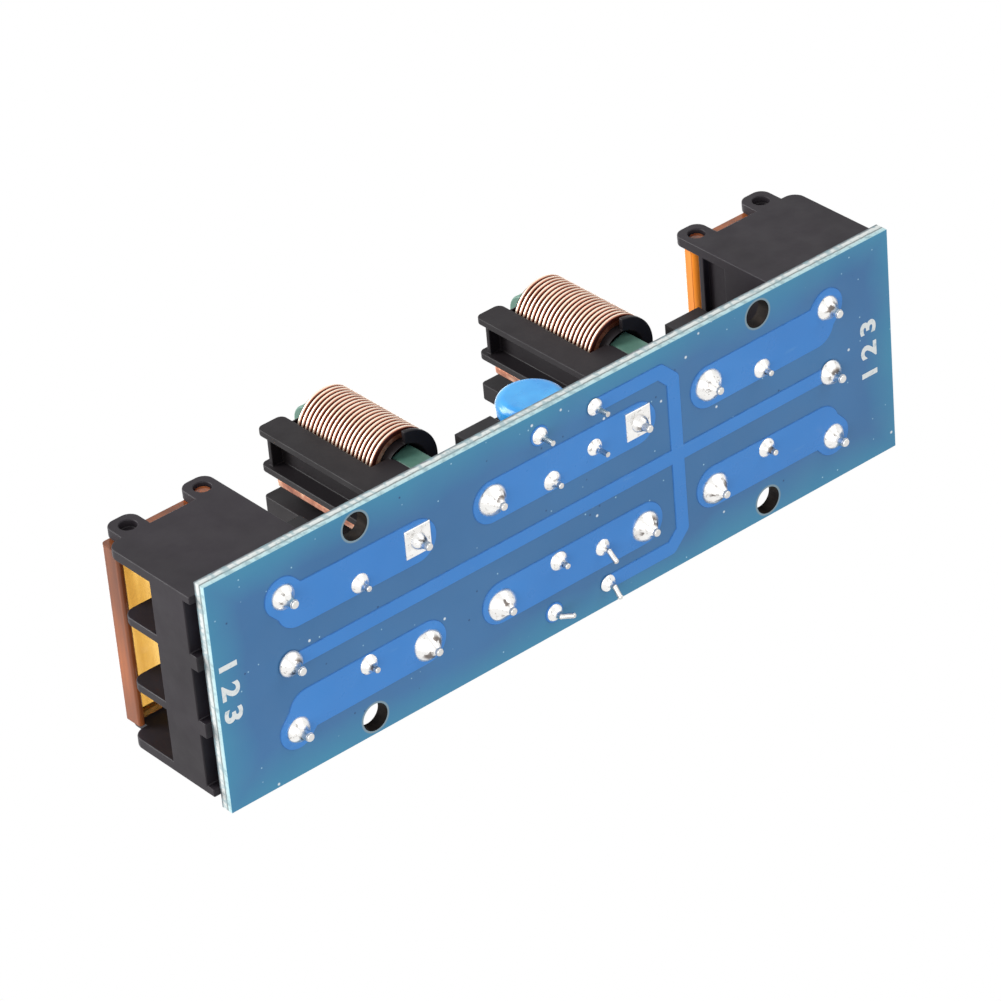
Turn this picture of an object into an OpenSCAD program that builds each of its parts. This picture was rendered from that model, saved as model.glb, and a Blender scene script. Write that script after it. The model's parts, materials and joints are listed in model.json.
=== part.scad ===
// Mains interference filter on an open circuit board.
// +X runs from the supply end to the load end, +Z is the component side, and the
// origin is the centre of the four mounting holes on the solder face of the board.

/* [Board] */
// Length of the circuit board
board_l = 93; // [92:0.5:110]
// Width of the circuit board
board_w = 27.5; // [27:0.5:34]
// Thickness of the laminate
board_t = 1.6; // [0.8:0.1:2.4]
// Mounting hole spacing along the board
hole_span_x = 55; // [53:0.5:57]
// Mounting hole spacing across the board
hole_span_y = 23.5; // [22.5:0.5:24.5]
// Mounting hole diameter
hole_d = 3.2; // [2.2:0.1:3.4]
// Thickness of a copper track
track_t = 0.1; // [0.05:0.01:0.2]
// Width of the four live and neutral straps
strap_w = 5.1; // [3:0.1:5.4]
// Distance of the straps from the centre line of the board
strap_y = 6.25; // [5.9:0.05:6.6]
// Width of the earth track
earth_w = 1.8; // [1:0.1:2.2]
// Position of the cross link of the earth track
earth_link_x = 15.2; // [14.8:0.1:15.6]
// Gap round a lead in its board hole
lead_gap = 0.15; // [0.1:0.05:0.3]
// Reach of a lead below the solder face
lead_reach = 2.2; // [1.5:0.1:3.5]
// Height of a solder cone
solder_h = 0.9; // [0.5:0.1:1.4]

/* [Terminal blocks] */
// Overhang of a terminal block past the end of the board
term_overhang = 0.8; // [0:0.1:2]
// Depth of a terminal block from front to back
term_d = 15.2; // [14.8:0.1:16]
// Width of a terminal block across its three poles
term_w = 24.4; // [22:0.1:27]
// Thickness of the two end walls
end_wall = 1.2; // [0.8:0.1:1.6]
// Thickness of the barriers between the poles
barrier_t = 1; // [0.8:0.1:1.4]
// Height of the base block under the contacts
term_base_h = 6.7; // [6:0.1:7.2]
// Height of the barriers
barrier_h = 12.5; // [11.9:0.1:12.6]
// Height of the shoulder of the end walls
shoulder_h = 13.7; // [13.5:0.1:14.2]
// Height of the ears above the shoulder
ear_rise = 3.2; // [2.8:0.1:3.6]
// Width of an ear
ear_w = 3.7; // [3.3:0.1:3.9]
// Distance of the front ear from the front face
ear_x = 2; // [1.8:0.1:3]
// Thickness of the back wall
back_wall = 1.2; // [1:0.1:1.5]
// Height of the thick part of the back wall
back_wall_h = 8.7; // [8.2:0.1:10]
// Height of the slots under the front wall
front_slot_h = 1.1; // [0.6:0.1:2]
// Distance of the solder pins from the front face
term_pin_x = 10; // [9.6:0.1:10.6]
// Diameter of the solder pins
term_pin_d = 1.2; // [0.8:0.1:1.4]

/* [Terminal contacts and screws] */
// Thickness of the contact plates
contact_t = 0.8; // [0.6:0.1:1]
// Distance of the screw axis from the front face
screw_x = 6; // [5.6:0.1:6.4]
// Diameter of the screw shank
screw_d = 2.9; // [2.4:0.1:3.2]
// Running clearance round the screw in the contact
thread_gap = 0.05; // [0.02:0.01:0.08]
// Rim of the clamp washer that stands out all round the screw head
head_rim = 0.15; // [0.1:0.05:0.6]
// Height of the screw head
head_h = 2.2; // [1.8:0.1:2.3]
// Thickness of the clamp washer
clamp_t = 0.8; // [0.5:0.1:0.9]
// Gap between the clamp washer and the walls of its bay
clamp_gap = 0.2; // [0.15:0.05:0.4]
// Seating gap between the clamp washer and the contact plate
clamp_seat = 0.05; // [0.02:0.01:0.1]
// Length of the shank below the head
shank_l = 6.6; // [5:0.1:7]

/* [Terminal covers] */
// Thickness of the cover plate
cover_t = 0.9; // [0.6:0.1:1]
// Height of the top face of the cover above the shoulder of the end walls
cover_rise = 2.6; // [2.4:0.1:2.7]
// Setback of the cover from the front face
cover_x = 1.1; // [0.8:0.1:1.4]
// Depth of the front lip of the cover
cover_lip = 2.7; // [2:0.1:2.9]
// Gap between the cover and the end walls
cover_gap = 0.25; // [0.2:0.05:0.5]
// Diameter of the hinge pins
hinge_d = 1.8; // [1.4:0.1:2]
// Radial clearance of the hinge pins
hinge_gap = 0.06; // [0.03:0.01:0.1]

/* [Chokes] */
// Distance between the two chokes
choke_pitch = 30; // [29.4:0.2:31]
// Pin spacing of a choke along the board
choke_pin_x = 10; // [9.8:0.1:10.6]
// Pin spacing of a choke across the board
choke_pin_y = 13; // [12.6:0.1:13.4]
// Diameter of the choke pins
choke_pin_d = 0.9; // [0.7:0.05:1]
// Offset of the coils from the middle of the pins
coil_dx = 2; // [1.8:0.1:2.2]
// Distance between the two coils of a choke
coil_span = 15; // [14.6:0.1:15.6]
// Turns of a coil
coil_turns = 21; // [12:1:24]
// Pitch of the turns
turn_pitch = 0.625; // [0.55:0.005:0.65]
// Thickness of the flat wire
wire_t = 0.45; // [0.3:0.05:0.5]
// Width of the flat wire
wire_w = 1.3; // [1:0.05:1.4]
// Gap between the coil and its tube
coil_gap = 0.05; // [0.05:0.01:0.15]
// Section of the core along the board
core_x = 3; // [2.6:0.1:3.2]
// Section of the core across the board
core_y = 3.4; // [3:0.1:3.6]
// Outer corner radius of the core
core_r = 2.5; // [1:0.1:2.9]
// Clearance of the core in the tubes
core_gap = 0.08; // [0.05:0.01:0.15]
// Wall of the tubes
tube_wall = 0.45; // [0.4:0.05:0.6]
// Lip of the lower flange past the coil
flange_lip = 0.05; // [0.05:0.05:0.4]
// Thickness of the lower flange
flange_t = 0.6; // [0.5:0.05:0.9]
// Reach of the upper flange over the end of the coil
cap_reach = 0.5; // [0.4:0.05:0.9]
// Thickness of the upper flange
cap_t = 0.3; // [0.3:0.05:0.6]
// Bare length of the core below the flanges
core_bare = 4.2; // [3.6:0.1:5]
// Thickness of the choke base
choke_base_t = 1; // [0.8:0.1:1.4]
// Height of the columns and the partition above the upper flange
column_rise = 1.2; // [0.8:0.1:2.4]
// Width of a column along the board
column_x = 3.5; // [3:0.1:3.6]
// Width of a column across the board
column_y = 5.2; // [4.8:0.1:5.2]
// Wall of the columns
column_wall = 0.8; // [0.6:0.05:0.9]
// Thickness of the partition between the coils
partition_t = 2; // [1.2:0.1:2.4]
// Width of the bridge between the flanges of the two coils
bridge_w = 5.2; // [4:0.1:6]

/* [Capacitors] */
// Thickness of a box capacitor
xcap_t = 5.2; // [4:0.1:5.6]
// Length of a box capacitor
xcap_l = 13; // [12.4:0.1:14]
// Height of a box capacitor
xcap_h = 11; // [8:0.1:13]
// Lead pitch of a box capacitor
xcap_pitch = 10; // [9.6:0.1:10.4]
// Lead diameter of a box capacitor
xcap_lead_d = 0.8; // [0.6:0.05:0.9]
// Gap between the input capacitor and its terminal block
xcap_in_gap = 1.8; // [1:0.1:2]
// Position of the middle capacitor
xcap_mid_x = -2; // [-2.4:0.1:-1.6]
// Gap between the output capacitor and its terminal block
xcap_out_gap = 1.9; // [1:0.1:2]
// Diameter of a disc capacitor
ycap_d = 7.6; // [7:0.1:7.8]
// Thickness of a disc capacitor
ycap_t = 2.6; // [2:0.1:3]
// Gap between a disc capacitor and the board
ycap_lift = 0.2; // [0.1:0.1:1]
// Inward offset of a disc capacitor from its leads
ycap_in = 0.4; // [0:0.1:0.5]
// Lead pitch of a disc capacitor
ycap_pitch = 7.5; // [7.2:0.1:7.8]
// Lead diameter of a disc capacitor
ycap_lead_d = 0.6; // [0.45:0.05:0.7]
// Position of the disc capacitors along the board
ycap_x = 0.65; // [0.4:0.05:0.9]
// Distance of the disc capacitors from the centre line
ycap_y = 11; // [10.8:0.1:11.2]

/* [Bleed resistor] */
// Body diameter of the resistor
res_d = 2.4; // [1.8:0.1:2.6]
// Body length of the resistor
res_l = 6.3; // [5.6:0.1:7.2]
// Lead pitch of the resistor
res_pitch = 12.5; // [12:0.1:13]
// Lead diameter of the resistor
res_lead_d = 0.6; // [0.45:0.05:0.7]
// Position of the resistor along the board
res_x = 4; // [3.8:0.1:4.4]
// Gap between the resistor and the board
res_lift = 0.4; // [0.2:0.1:1]

/* [Hidden] */
$fn = 48;
cut = 1;

// Places along the board are given for this length and spread out with it
design_l = 93;
stretch = board_l / design_l;
hole_x = stretch * hole_span_x / 2;
link_x = stretch * earth_link_x;
mid_x = stretch * xcap_mid_x;
disc_x = stretch * ycap_x;
bleed_x = stretch * res_x;

// Terminal block, seen from its front face inwards
term_front = board_l / 2 + term_overhang;
term_back = term_front - term_d;
pin_row = term_front - term_pin_x;
pole_pitch = term_w / 3;
bay_end = term_w / 2 - end_wall;
bay_w = pole_pitch - barrier_t;
poles = [-pole_pitch, 0, pole_pitch];
barriers = [-pole_pitch / 2, pole_pitch / 2];
cover_top_h = shoulder_h + cover_rise;
ear_in_x = term_d - ear_w;
ear_hole_h = shoulder_h + 1.3;
hinge_x = term_d - ear_w / 2;
clamp_w = 2 * (bay_end - pole_pitch - clamp_gap);
contact_w = clamp_w + 0.1;
head_d = clamp_w - 2 * head_rim;
contact_x0 = screw_x - clamp_w / 2 - 0.9;
contact_x1 = term_pin_x + term_pin_d / 2 + 0.6;
contact_top = term_base_h + contact_t;
clamp_h = contact_top + clamp_seat;
head_seat = clamp_h + clamp_t;
shank_end = head_seat - shank_l;
cover_half = bay_end - cover_gap;
cover_end = hinge_x + 1;

// Choke, seen from the middle of its four pins
choke_x = [-stretch * choke_pitch / 2, stretch * choke_pitch / 2];
coil_y = coil_span / 2;
tube_in = norm([core_x, core_y]) / 2 + core_gap;
tube_out = tube_in + tube_wall;
coil_in = tube_out + coil_gap;
coil_out = coil_in + wire_w;
flange_r = coil_out + flange_lip;
cap_r = coil_in + cap_reach;
yoke_h = core_x;
core_h = choke_base_t;
deck_h = core_h + yoke_h + core_bare;
coil_h = deck_h + flange_t;
coil_l = coil_turns * turn_pitch;
far_h = coil_h + coil_l;
core_mid = (core_h + far_h + cap_t + yoke_h) / 2;
core_top = far_h + cap_t + yoke_h;
column_h = far_h + cap_t + column_rise;
column_x1 = coil_dx - coil_out - 0.05;
column_x0 = column_x1 - column_x;
column_out = coil_y + core_y / 2 + 0.2;
column_in = column_out - column_y;
strip_y = column_in - 0.05 - wire_w;
strip_x = -choke_pin_x / 2;
notch_gap = 0.15;

// Leads: [x, y, diameter, bend along, bend across]
xcap_x = [
    xcap_t / 2 + xcap_in_gap - term_back,
    mid_x,
    term_back - xcap_out_gap - xcap_t / 2
];
term_leads = [for (s = [-1, 1]) for (y = poles) [s * pin_row, y, term_pin_d, 0, 0]];
xcap_leads = [for (x = xcap_x) for (s = [-1, 1]) [x, s * xcap_pitch / 2, xcap_lead_d, 0, 0]];
choke_leads = [for (x = choke_x) for (i = [-1, 1]) for (j = [-1, 1])
    [x + i * choke_pin_x / 2, j * choke_pin_y / 2, choke_pin_d, 0, 0]];
ycap_leads = [
    [disc_x - ycap_pitch / 2, -ycap_y, ycap_lead_d, 0, 0],
    [disc_x + ycap_pitch / 2, -ycap_y, ycap_lead_d, 0, 0],
    [disc_x - ycap_pitch / 2, ycap_y, ycap_lead_d, 1, 0],
    [disc_x + ycap_pitch / 2, ycap_y, ycap_lead_d, 0, 0.9]
];
res_leads = [
    [bleed_x, -res_pitch / 2, res_lead_d, 0, 0],
    [bleed_x, res_pitch / 2, res_lead_d, 0.2, 1]
];
all_leads = concat(term_leads, xcap_leads, choke_leads, ycap_leads, res_leads);

// Shared shapes

// Waste outside a corner rounding of radius r at the origin
module corner_waste(r) {
    difference() {
        translate([-cut, -cut])
            square([r + cut, r + cut]);
        translate([r, r])
            circle(r);
    }
}

// Rectangle from the origin, its corners rounded from lower left round to upper left
module soft_rect(w, h, ll = 0, lr = 0, ur = 0, ul = 0) {
    difference() {
        square([w, h]);
        if (ll > 0)
            corner_waste(ll);
        if (lr > 0)
            translate([w, 0])
                mirror([1, 0])
                    corner_waste(lr);
        if (ur > 0)
            translate([w, h])
                rotate(180)
                    corner_waste(ur);
        if (ul > 0)
            translate([0, h])
                mirror([0, 1])
                    corner_waste(ul);
    }
}

// Extrudes a drawing of length and height across the board, from y to y + t
module across(y, t) {
    translate([0, y + t, 0])
        rotate([90, 0, 0])
            linear_extrude(t)
                children();
}

// Extrudes a drawing of width and height along the board, from x to x + t
module along(x, t) {
    translate([x, 0, 0])
        rotate([90, 0, 90])
            linear_extrude(t)
                children();
}

// Straight track with round ends
module strap(a, b, w) {
    run = b - a;
    for (p = [a, b])
        translate(p)
            circle(d = w);
    translate(a)
        rotate(atan2(run[1], run[0]))
            translate([0, -w / 2])
                square([norm(run), w]);
}

// Round rod between two points, from diameter d at a to diameter e at b
module rod(a, b, d, e) {
    run = b - a;
    translate(a)
        rotate([0, 0, atan2(run[1], run[0])])
            rotate([0, atan2(norm([run[0], run[1]]), run[2]), 0])
                cylinder(h = norm(run), d1 = d, d2 = e);
}

// Round wire between two points, with a ball at its far end
module wire(a, b, d) {
    rod(a, b, d, d);
    translate(b)
        sphere(d = 1.06 * d);
}

// Circuit board

// Waste of every lead hole, a little wider than the lead
module lead_holes() {
    for (l = all_leads)
        translate([l[0], l[1]])
            circle(d = l[2] + 2 * lead_gap);
}

module circuit_board() {
    color([0.20, 0.42, 0.55])
        linear_extrude(board_t)
            difference() {
                square([board_l, board_w], center = true);
                for (i = [-1, 1])
                    for (j = [-1, 1])
                        translate([i * hole_x, j * hole_span_y / 2])
                            circle(d = hole_d);
                lead_holes();
            }
}

// Strap from a terminal pin past its box capacitor to the nearest choke pin
module end_strap(side, row) {
    pin = [side * pin_row, row * pole_pitch];
    knee = [side * (pin_row - 1.6), row * (strap_y + 0.1)];
    strap(pin, knee, strap_w - 0.5);
    strap(knee, [side * (choke_x[1] + choke_pin_x / 2), row * strap_y], strap_w);
}

module copper_tracks() {
    link_y = hole_span_y / 2 - 0.75;
    inner_pin = choke_x[1] - choke_pin_x / 2;
    corner = 1.7;
    earth_pin = disc_x + ycap_pitch / 2;
    color([0.26, 0.52, 0.80])
        translate([0, 0, -track_t])
            linear_extrude(track_t)
                difference() {
                    union() {
                        for (side = [-1, 1])
                            for (row = [-1, 1])
                                end_strap(side, row);
                        for (row = [-1, 1]) {
                            strap([-inner_pin, row * strap_y], [inner_pin, row * strap_y], strap_w);
                            strap([earth_pin, row * link_y], [link_x - corner, row * link_y], earth_w);
                            strap([link_x - corner, row * link_y],
                                [link_x, row * (link_y - corner)], earth_w);
                            translate([disc_x - ycap_pitch / 2, row * ycap_y])
                                circle(d = 2.4);
                        }
                        strap([link_x, corner - link_y], [link_x, link_y - corner], earth_w);
                        strap([-pin_row, 0], [pin_row, 0], earth_w);
                    }
                    lead_holes();
                }
}

// Cone of solder round a lead
module solder_cone(d, pad) {
    r = d / 2 + 0.02;
    rotate_extrude()
        polygon([[r, 0], [pad / 2, 0], [pad * 0.47, -0.2 * solder_h], [pad * 0.3, -0.5 * solder_h],
            [r + 0.2, -solder_h], [r, -solder_h]]);
}

module solder_joints() {
    color([0.80, 0.80, 0.80])
        translate([0, 0, -track_t]) {
            for (l = term_leads)
                translate([l[0], l[1]])
                    solder_cone(l[2], 3);
            for (l = xcap_leads)
                translate([l[0], l[1]])
                    solder_cone(l[2], 2.4);
            for (l = concat(ycap_leads, res_leads))
                translate([l[0], l[1]])
                    solder_cone(l[2], 2.1);
            for (x = choke_x)
                for (i = [-1, 1])
                    for (j = [-1, 1])
                        translate([x + i * choke_pin_x / 2, j * choke_pin_y / 2])
                            if (i + j < 0)
                                square_joint();
                            else
                                solder_cone(choke_pin_d, 3.7);
        }
}

// Solder on the square pad of the first pin of a choke
module square_joint() {
    r = choke_pin_d / 2 + 0.02;
    difference() {
        union() {
            translate([-1.7, -1.7, -0.2 * solder_h])
                cube([3.4, 3.4, 0.2 * solder_h]);
            translate([0, 0, -solder_h])
                cylinder(h = solder_h, r1 = r + 0.2, r2 = 1.6);
        }
        translate([0, 0, -2 * solder_h])
            cylinder(h = 3 * solder_h, r = r);
    }
}

// Lead from height top down through the board, bent below its solder where l says so
module board_lead(l, top, reach = lead_reach) {
    tip = [l[0] + l[3], l[1] + l[4], -reach + l[2] / 2];
    bend = [l[0], l[1], -track_t - solder_h - 0.1];
    if (abs(l[3]) + abs(l[4]) > 0) {
        wire([l[0], l[1], top], bend, l[2]);
        wire(bend, tip, l[2]);
    } else {
        translate([l[0], l[1], -reach])
            cylinder(h = reach + top, d = l[2]);
    }
}

// Terminal blocks, drawn from the front face inwards along x

// Outline of an end wall with its two ears and the hole of the hinge pin
module end_wall_outline() {
    difference() {
        union() {
            soft_rect(term_d, shoulder_h, ul = 1.5);
            for (x = [ear_x, ear_in_x])
                translate([x, shoulder_h - 1.5])
                    soft_rect(ear_w, ear_rise + 1.5, ul = 1.3, ur = 1.3);
        }
        translate([hinge_x, ear_hole_h])
            circle(d = hinge_d + 2 * hinge_gap);
    }
}

module terminal_housing() {
    difference() {
        union() {
            translate([0, -term_w / 2 + end_wall / 2, 0])
                cube([term_d, term_w - end_wall, term_base_h]);
            for (y = [-term_w / 2, bay_end])
                across(y, end_wall)
                    end_wall_outline();
            for (y = barriers)
                across(y - barrier_t / 2, barrier_t)
                    soft_rect(term_d - back_wall / 2 - 0.3, barrier_h, ul = 1.5);
            along(term_d - back_wall, back_wall)
                translate([-term_w / 2 + end_wall / 2, 0]) {
                    square([term_w - end_wall, back_wall_h]);
                    translate([0, barrier_h - 0.5])
                        square([term_w - end_wall, 0.8]);
                }
            along(term_d - back_wall, 0.5)
                translate([-term_w / 2 + end_wall / 2, 0])
                    square([term_w - end_wall, barrier_h]);
        }
        for (s = [-1, 1])
            translate([ear_x + ear_w / 2, s * (term_w / 2 + cut), ear_hole_h])
                rotate([s * 90, 0, 0])
                    cylinder(h = cut + end_wall - 0.3, d = hinge_d + 2 * hinge_gap);
        for (y = poles) {
            translate([-cut, y - bay_w / 2 + 0.4, -cut])
                cube([1.7 + cut, bay_w - 0.8, front_slot_h + cut]);
            translate([screw_x, y, shank_end - 0.6])
                cylinder(h = term_base_h, d = screw_d + 0.9);
            translate([term_pin_x, y, -cut])
                cylinder(h = term_base_h + 2 * cut, d = term_pin_d + 2 * lead_gap);
        }
    }
}

module contact(y) {
    difference() {
        union() {
            translate([contact_x0, y - contact_w / 2, term_base_h])
                cube([contact_x1 - contact_x0, contact_w, contact_t]);
            translate([term_pin_x, y, -board_t - lead_reach])
                cylinder(h = board_t + lead_reach + contact_top - 0.2, d = term_pin_d);
        }
        translate([screw_x, y, 0])
            cylinder(h = 2 * term_base_h, d = screw_d + 2 * thread_gap);
    }
}

module clamp_washer(y) {
    difference() {
        translate([screw_x - clamp_w / 2, y - clamp_w / 2, clamp_h])
            linear_extrude(clamp_t)
                soft_rect(clamp_w, clamp_w, 0.5, 0.5, 0.5, 0.5);
        translate([screw_x, y, clamp_h - cut])
            cylinder(h = clamp_t + 2 * cut, d = screw_d + 0.2);
    }
}

module terminal_screw(y) {
    slot_w = 0.8;
    slot_l = head_d * 0.72;
    translate([screw_x, y, 0])
        difference() {
            union() {
                translate([0, 0, shank_end + 0.3])
                    cylinder(h = shank_l, d = screw_d);
                translate([0, 0, shank_end])
                    cylinder(h = 0.3, d1 = screw_d - 0.6, d2 = screw_d);
                translate([0, 0, head_seat])
                    rotate_extrude()
                        soft_rect(head_d / 2, head_h, ur = 0.9);
            }
            for (a = [0, 90])
                rotate(a)
                    translate([-slot_l / 2, -slot_w / 2, head_seat + head_h - 1.1])
                        cube([slot_l, slot_w, 1.1 + cut]);
        }
}

module terminal_cover() {
    lip_t = 0.8;
    barrel = 0.95;
    plate_h = cover_top_h - cover_t;
    across(-cover_half, 2 * cover_half) {
        translate([cover_x, plate_h])
            soft_rect(cover_end - cover_x, cover_t, ul = 0.6, ur = 0.5);
        translate([cover_x, cover_top_h - cover_lip])
            soft_rect(lip_t, cover_lip - 0.7, ll = 0.35, lr = 0.35);
        translate([cover_x + 0.7, plate_h + cover_t - 0.7])
            circle(0.7);
        translate([hinge_x, ear_hole_h])
            circle(barrel);
        translate([hinge_x - barrel, ear_hole_h])
            square([barrel + 1, plate_h - ear_hole_h + 0.1]);
    }
    for (s = [-1, 1]) {
        across(s * (cover_half - 0.3) - 0.3, 0.6)
            translate([cover_x, plate_h - 0.6])
                square([cover_end - cover_x - 0.6, 0.8]);
        translate([hinge_x, s > 0 ? cover_half - 0.5 : 0.45 - term_w / 2, ear_hole_h])
            rotate([-90, 0, 0])
                cylinder(h = term_w / 2 - cover_half + 0.05, d = hinge_d);
    }
}

// Chokes, drawn round the middle of their four pins

module choke_base() {
    difference() {
        translate([column_x0, -column_out, 0])
            linear_extrude(choke_base_t)
                soft_rect(choke_pin_x / 2 + 1 - column_x0, 2 * column_out, 0.8, 0.8, 0.8, 0.8);
        for (i = [-1, 1])
            for (j = [-1, 1])
                translate([i * choke_pin_x / 2, j * choke_pin_y / 2, -cut])
                    cylinder(h = choke_base_t + 2 * cut, d = choke_pin_d + 0.1);
    }
}

// Column, tube and flanges of one coil, on the side of negative y
module bobbin_side() {
    web_x = column_x0 + 1.9;
    foot_end = coil_dx - core_x / 2 - 0.1;
    across(-column_out, column_wall)
        translate([column_x0, core_h]) {
            soft_rect(column_x, column_h - core_h, ul = 0.8, ur = 0.8);
            soft_rect(foot_end - column_x0, coil_h - 0.1 - core_h, ur = 1);
        }
    difference() {
        across(-column_in - column_wall, column_wall)
            translate([column_x0, core_h])
                soft_rect(column_x, column_h - core_h, ul = 0.8, ur = 0.8);
        translate([column_x0 - cut, -column_in - 2 * column_wall, core_h - cut])
            cube([strip_x + 0.4 - column_x0 + cut, 3 * column_wall, wire_w + 0.4 + cut]);
    }
    translate([web_x, -column_out + column_wall / 2, core_h])
        cube([column_wall, column_y - column_wall, column_h - core_h]);
    translate([column_x0 + 0.5, -column_out + column_wall / 2, column_h - 1.6])
        cube([web_x - column_x0, column_y - column_wall, 0.6]);
    difference() {
        union() {
            translate([0, 0, deck_h])
                linear_extrude(flange_t) {
                    lower_flange();
                    flange_arms(web_x);
                }
            translate([0, 0, far_h])
                linear_extrude(cap_t) {
                    translate([coil_dx, -coil_y])
                        circle(cap_r);
                    flange_arms(web_x);
                }
            translate([coil_dx, -coil_y, deck_h])
                cylinder(h = far_h + cap_t - deck_h, r = tube_out);
        }
        translate([coil_dx, -coil_y, deck_h - cut])
            cylinder(h = far_h + cap_t - deck_h + 2 * cut, r = tube_in);
        translate([coil_dx, -coil_y, deck_h - 0.02])
            cylinder(h = 1.2, r1 = tube_out - 0.1, r2 = tube_in - 0.02);
        translate([choke_pin_x / 2, -choke_pin_y / 2, deck_h - cut])
            cylinder(h = flange_t + cut + turn_pitch, d = choke_pin_d + 0.2);
    }
}

// Lower flange, open on the side of the column so that the coil lies bare there
module lower_flange() {
    difference() {
        translate([coil_dx, -coil_y])
            circle(flange_r);
        translate([coil_dx - 2 * flange_r, -coil_y - 2 * flange_r])
            square([2 * flange_r + 0.1, 2 * flange_r - column_out + column_wall + coil_y]);
    }
}

// Arms from a flange to its column and to the partition
module flange_arms(web_x) {
    translate([web_x, -column_out + column_wall / 2])
        square([coil_dx - web_x, column_y - column_wall]);
    translate([coil_dx - bridge_w / 2, -coil_y])
        square([bridge_w, coil_y]);
}

module choke_bobbin() {
    notch_x = coil_dx - core_x / 2 - notch_gap;
    notch_w = core_x + 2 * notch_gap;
    for (m = [0, 1])
        mirror([0, m, 0])
            bobbin_side();
    across(-partition_t / 2, partition_t)
        difference() {
            translate([column_x0, core_h])
                soft_rect(choke_pin_x / 2 - column_x0, column_h - core_h, ul = 0.5, ur = 0.5);
            translate([notch_x, core_h - cut])
                square([notch_w, yoke_h + notch_gap + cut]);
            translate([notch_x, far_h + cap_t - notch_gap])
                square([notch_w, column_rise + notch_gap + cut]);
        }
}

// Half of the core, with its yoke down at the origin and its limbs up to height limb
module core_half(limb) {
    leg_out = coil_y + core_y / 2;
    leg_in = coil_y - core_y / 2;
    along(coil_dx - core_x / 2, core_x)
        difference() {
            translate([-leg_out, 0])
                soft_rect(2 * leg_out, limb, ll = core_r, lr = core_r);
            translate([-leg_in, yoke_h])
                soft_rect(2 * leg_in, limb, ll = core_gap, lr = core_gap);
        }
}

module choke_lower_core() {
    translate([0, 0, core_h])
        core_half(core_mid - core_h);
}

module choke_upper_core() {
    translate([0, 0, core_top])
        mirror([0, 0, 1])
            core_half(core_top - core_mid);
}

// Edge-wound coil with its two ends led down to the board, on the side of negative y
module choke_coil() {
    rise = (turn_pitch - wire_t) / 2;
    last = coil_h + coil_l - turn_pitch + rise;
    foot = core_h + 0.15;
    translate([coil_dx, -coil_y, coil_h])
        rotate_extrude() {
            for (i = [0 : coil_turns - 1])
                translate([coil_in, i * turn_pitch + rise])
                    square([wire_w, wire_t]);
            translate([coil_in, rise])
                square([0.25, coil_l - 2 * rise]);
        }
    translate([strip_x - wire_t / 2, -strip_y - wire_w, last])
        cube([coil_dx - strip_x + wire_t / 2, wire_w, wire_t]);
    translate([strip_x - wire_t / 2, -strip_y - wire_w, foot])
        cube([wire_t, wire_w, last + wire_t - foot]);
    translate([strip_x - wire_t / 2, -choke_pin_y / 2, foot])
        cube([wire_t, choke_pin_y / 2 - strip_y, wire_w]);
    translate([strip_x, -choke_pin_y / 2, -board_t - lead_reach])
        cylinder(h = board_t + lead_reach + foot + wire_w, d = choke_pin_d);
    translate([choke_pin_x / 2, -choke_pin_y / 2, -board_t - lead_reach])
        cylinder(h = board_t + lead_reach + coil_h + rise + wire_t / 2, d = choke_pin_d);
}

// Capacitors and resistor

module xcap_body(x) {
    color([0.16, 0.16, 0.17])
        translate([x, 0, board_t])
            difference() {
                intersection() {
                    translate([-xcap_t / 2, -xcap_l / 2, 0])
                        linear_extrude(xcap_h)
                            soft_rect(xcap_t, xcap_l, 0.5, 0.5, 0.5, 0.5);
                    across(-xcap_l / 2, xcap_l)
                        translate([-xcap_t / 2, 0])
                            soft_rect(xcap_t, xcap_h, ul = 0.5, ur = 0.5);
                    along(-xcap_t / 2, xcap_t)
                        translate([-xcap_l / 2, 0])
                            soft_rect(xcap_l, xcap_h, ul = 0.5, ur = 0.5);
                }
                translate([-xcap_t / 2 + 0.7, -xcap_l / 2 + 0.7, -cut])
                    cube([xcap_t - 1.4, xcap_l - 1.4, cut + 0.5]);
                translate([-xcap_t, -xcap_l / 2 + 2, -cut])
                    cube([2 * xcap_t, xcap_l - 4, cut + 0.4]);
                for (s = [-1, 1])
                    translate([0, s * xcap_pitch / 2, 0])
                        cylinder(h = 2, d = xcap_lead_d + 0.04);
            }
}

module xcap_wires(x) {
    color([0.78, 0.78, 0.78])
        for (s = [-1, 1])
            board_lead([x, s * xcap_pitch / 2, xcap_lead_d, 0, 0], board_t + 1.9, lead_reach - 0.5);
}

// Point inside a disc capacitor where lead l begins
function ycap_root(l) = [
    disc_x + sign(l[0] - disc_x) * ycap_d * 0.28,
    l[1] - sign(l[1]) * ycap_in,
    board_t + ycap_lift + ycap_d * 0.23
];

// Point above the board where lead l turns straight down
function ycap_knee(l) = [l[0], l[1], board_t + 1];

module ycap_body(k) {
    y = ycap_root(ycap_leads[2 * k])[1];
    color([0.33, 0.74, 0.98])
        difference() {
            union() {
                translate([disc_x, y + ycap_t / 2, board_t + ycap_lift + ycap_d / 2])
                    rotate([90, 0, 0])
                        rotate_extrude()
                            soft_rect(ycap_d / 2, ycap_t, lr = ycap_t * 0.42, ur = ycap_t * 0.42);
                for (i = [0, 1]) {
                    l = ycap_leads[2 * k + i];
                    drip = ycap_root(l) * 0.4 + ycap_knee(l) * 0.6;
                    rod(ycap_root(l), drip, ycap_lead_d + 0.9, ycap_lead_d + 0.2);
                }
            }
            for (i = [0, 1]) {
                l = ycap_leads[2 * k + i];
                rod(ycap_root(l), ycap_knee(l), ycap_lead_d + 0.04, ycap_lead_d + 0.04);
            }
        }
}

module ycap_wires(k) {
    color([0.78, 0.78, 0.78])
        for (i = [0, 1]) {
            l = ycap_leads[2 * k + i];
            wire(ycap_root(l), ycap_knee(l), ycap_lead_d);
            board_lead(l, board_t + 1);
        }
}

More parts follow.
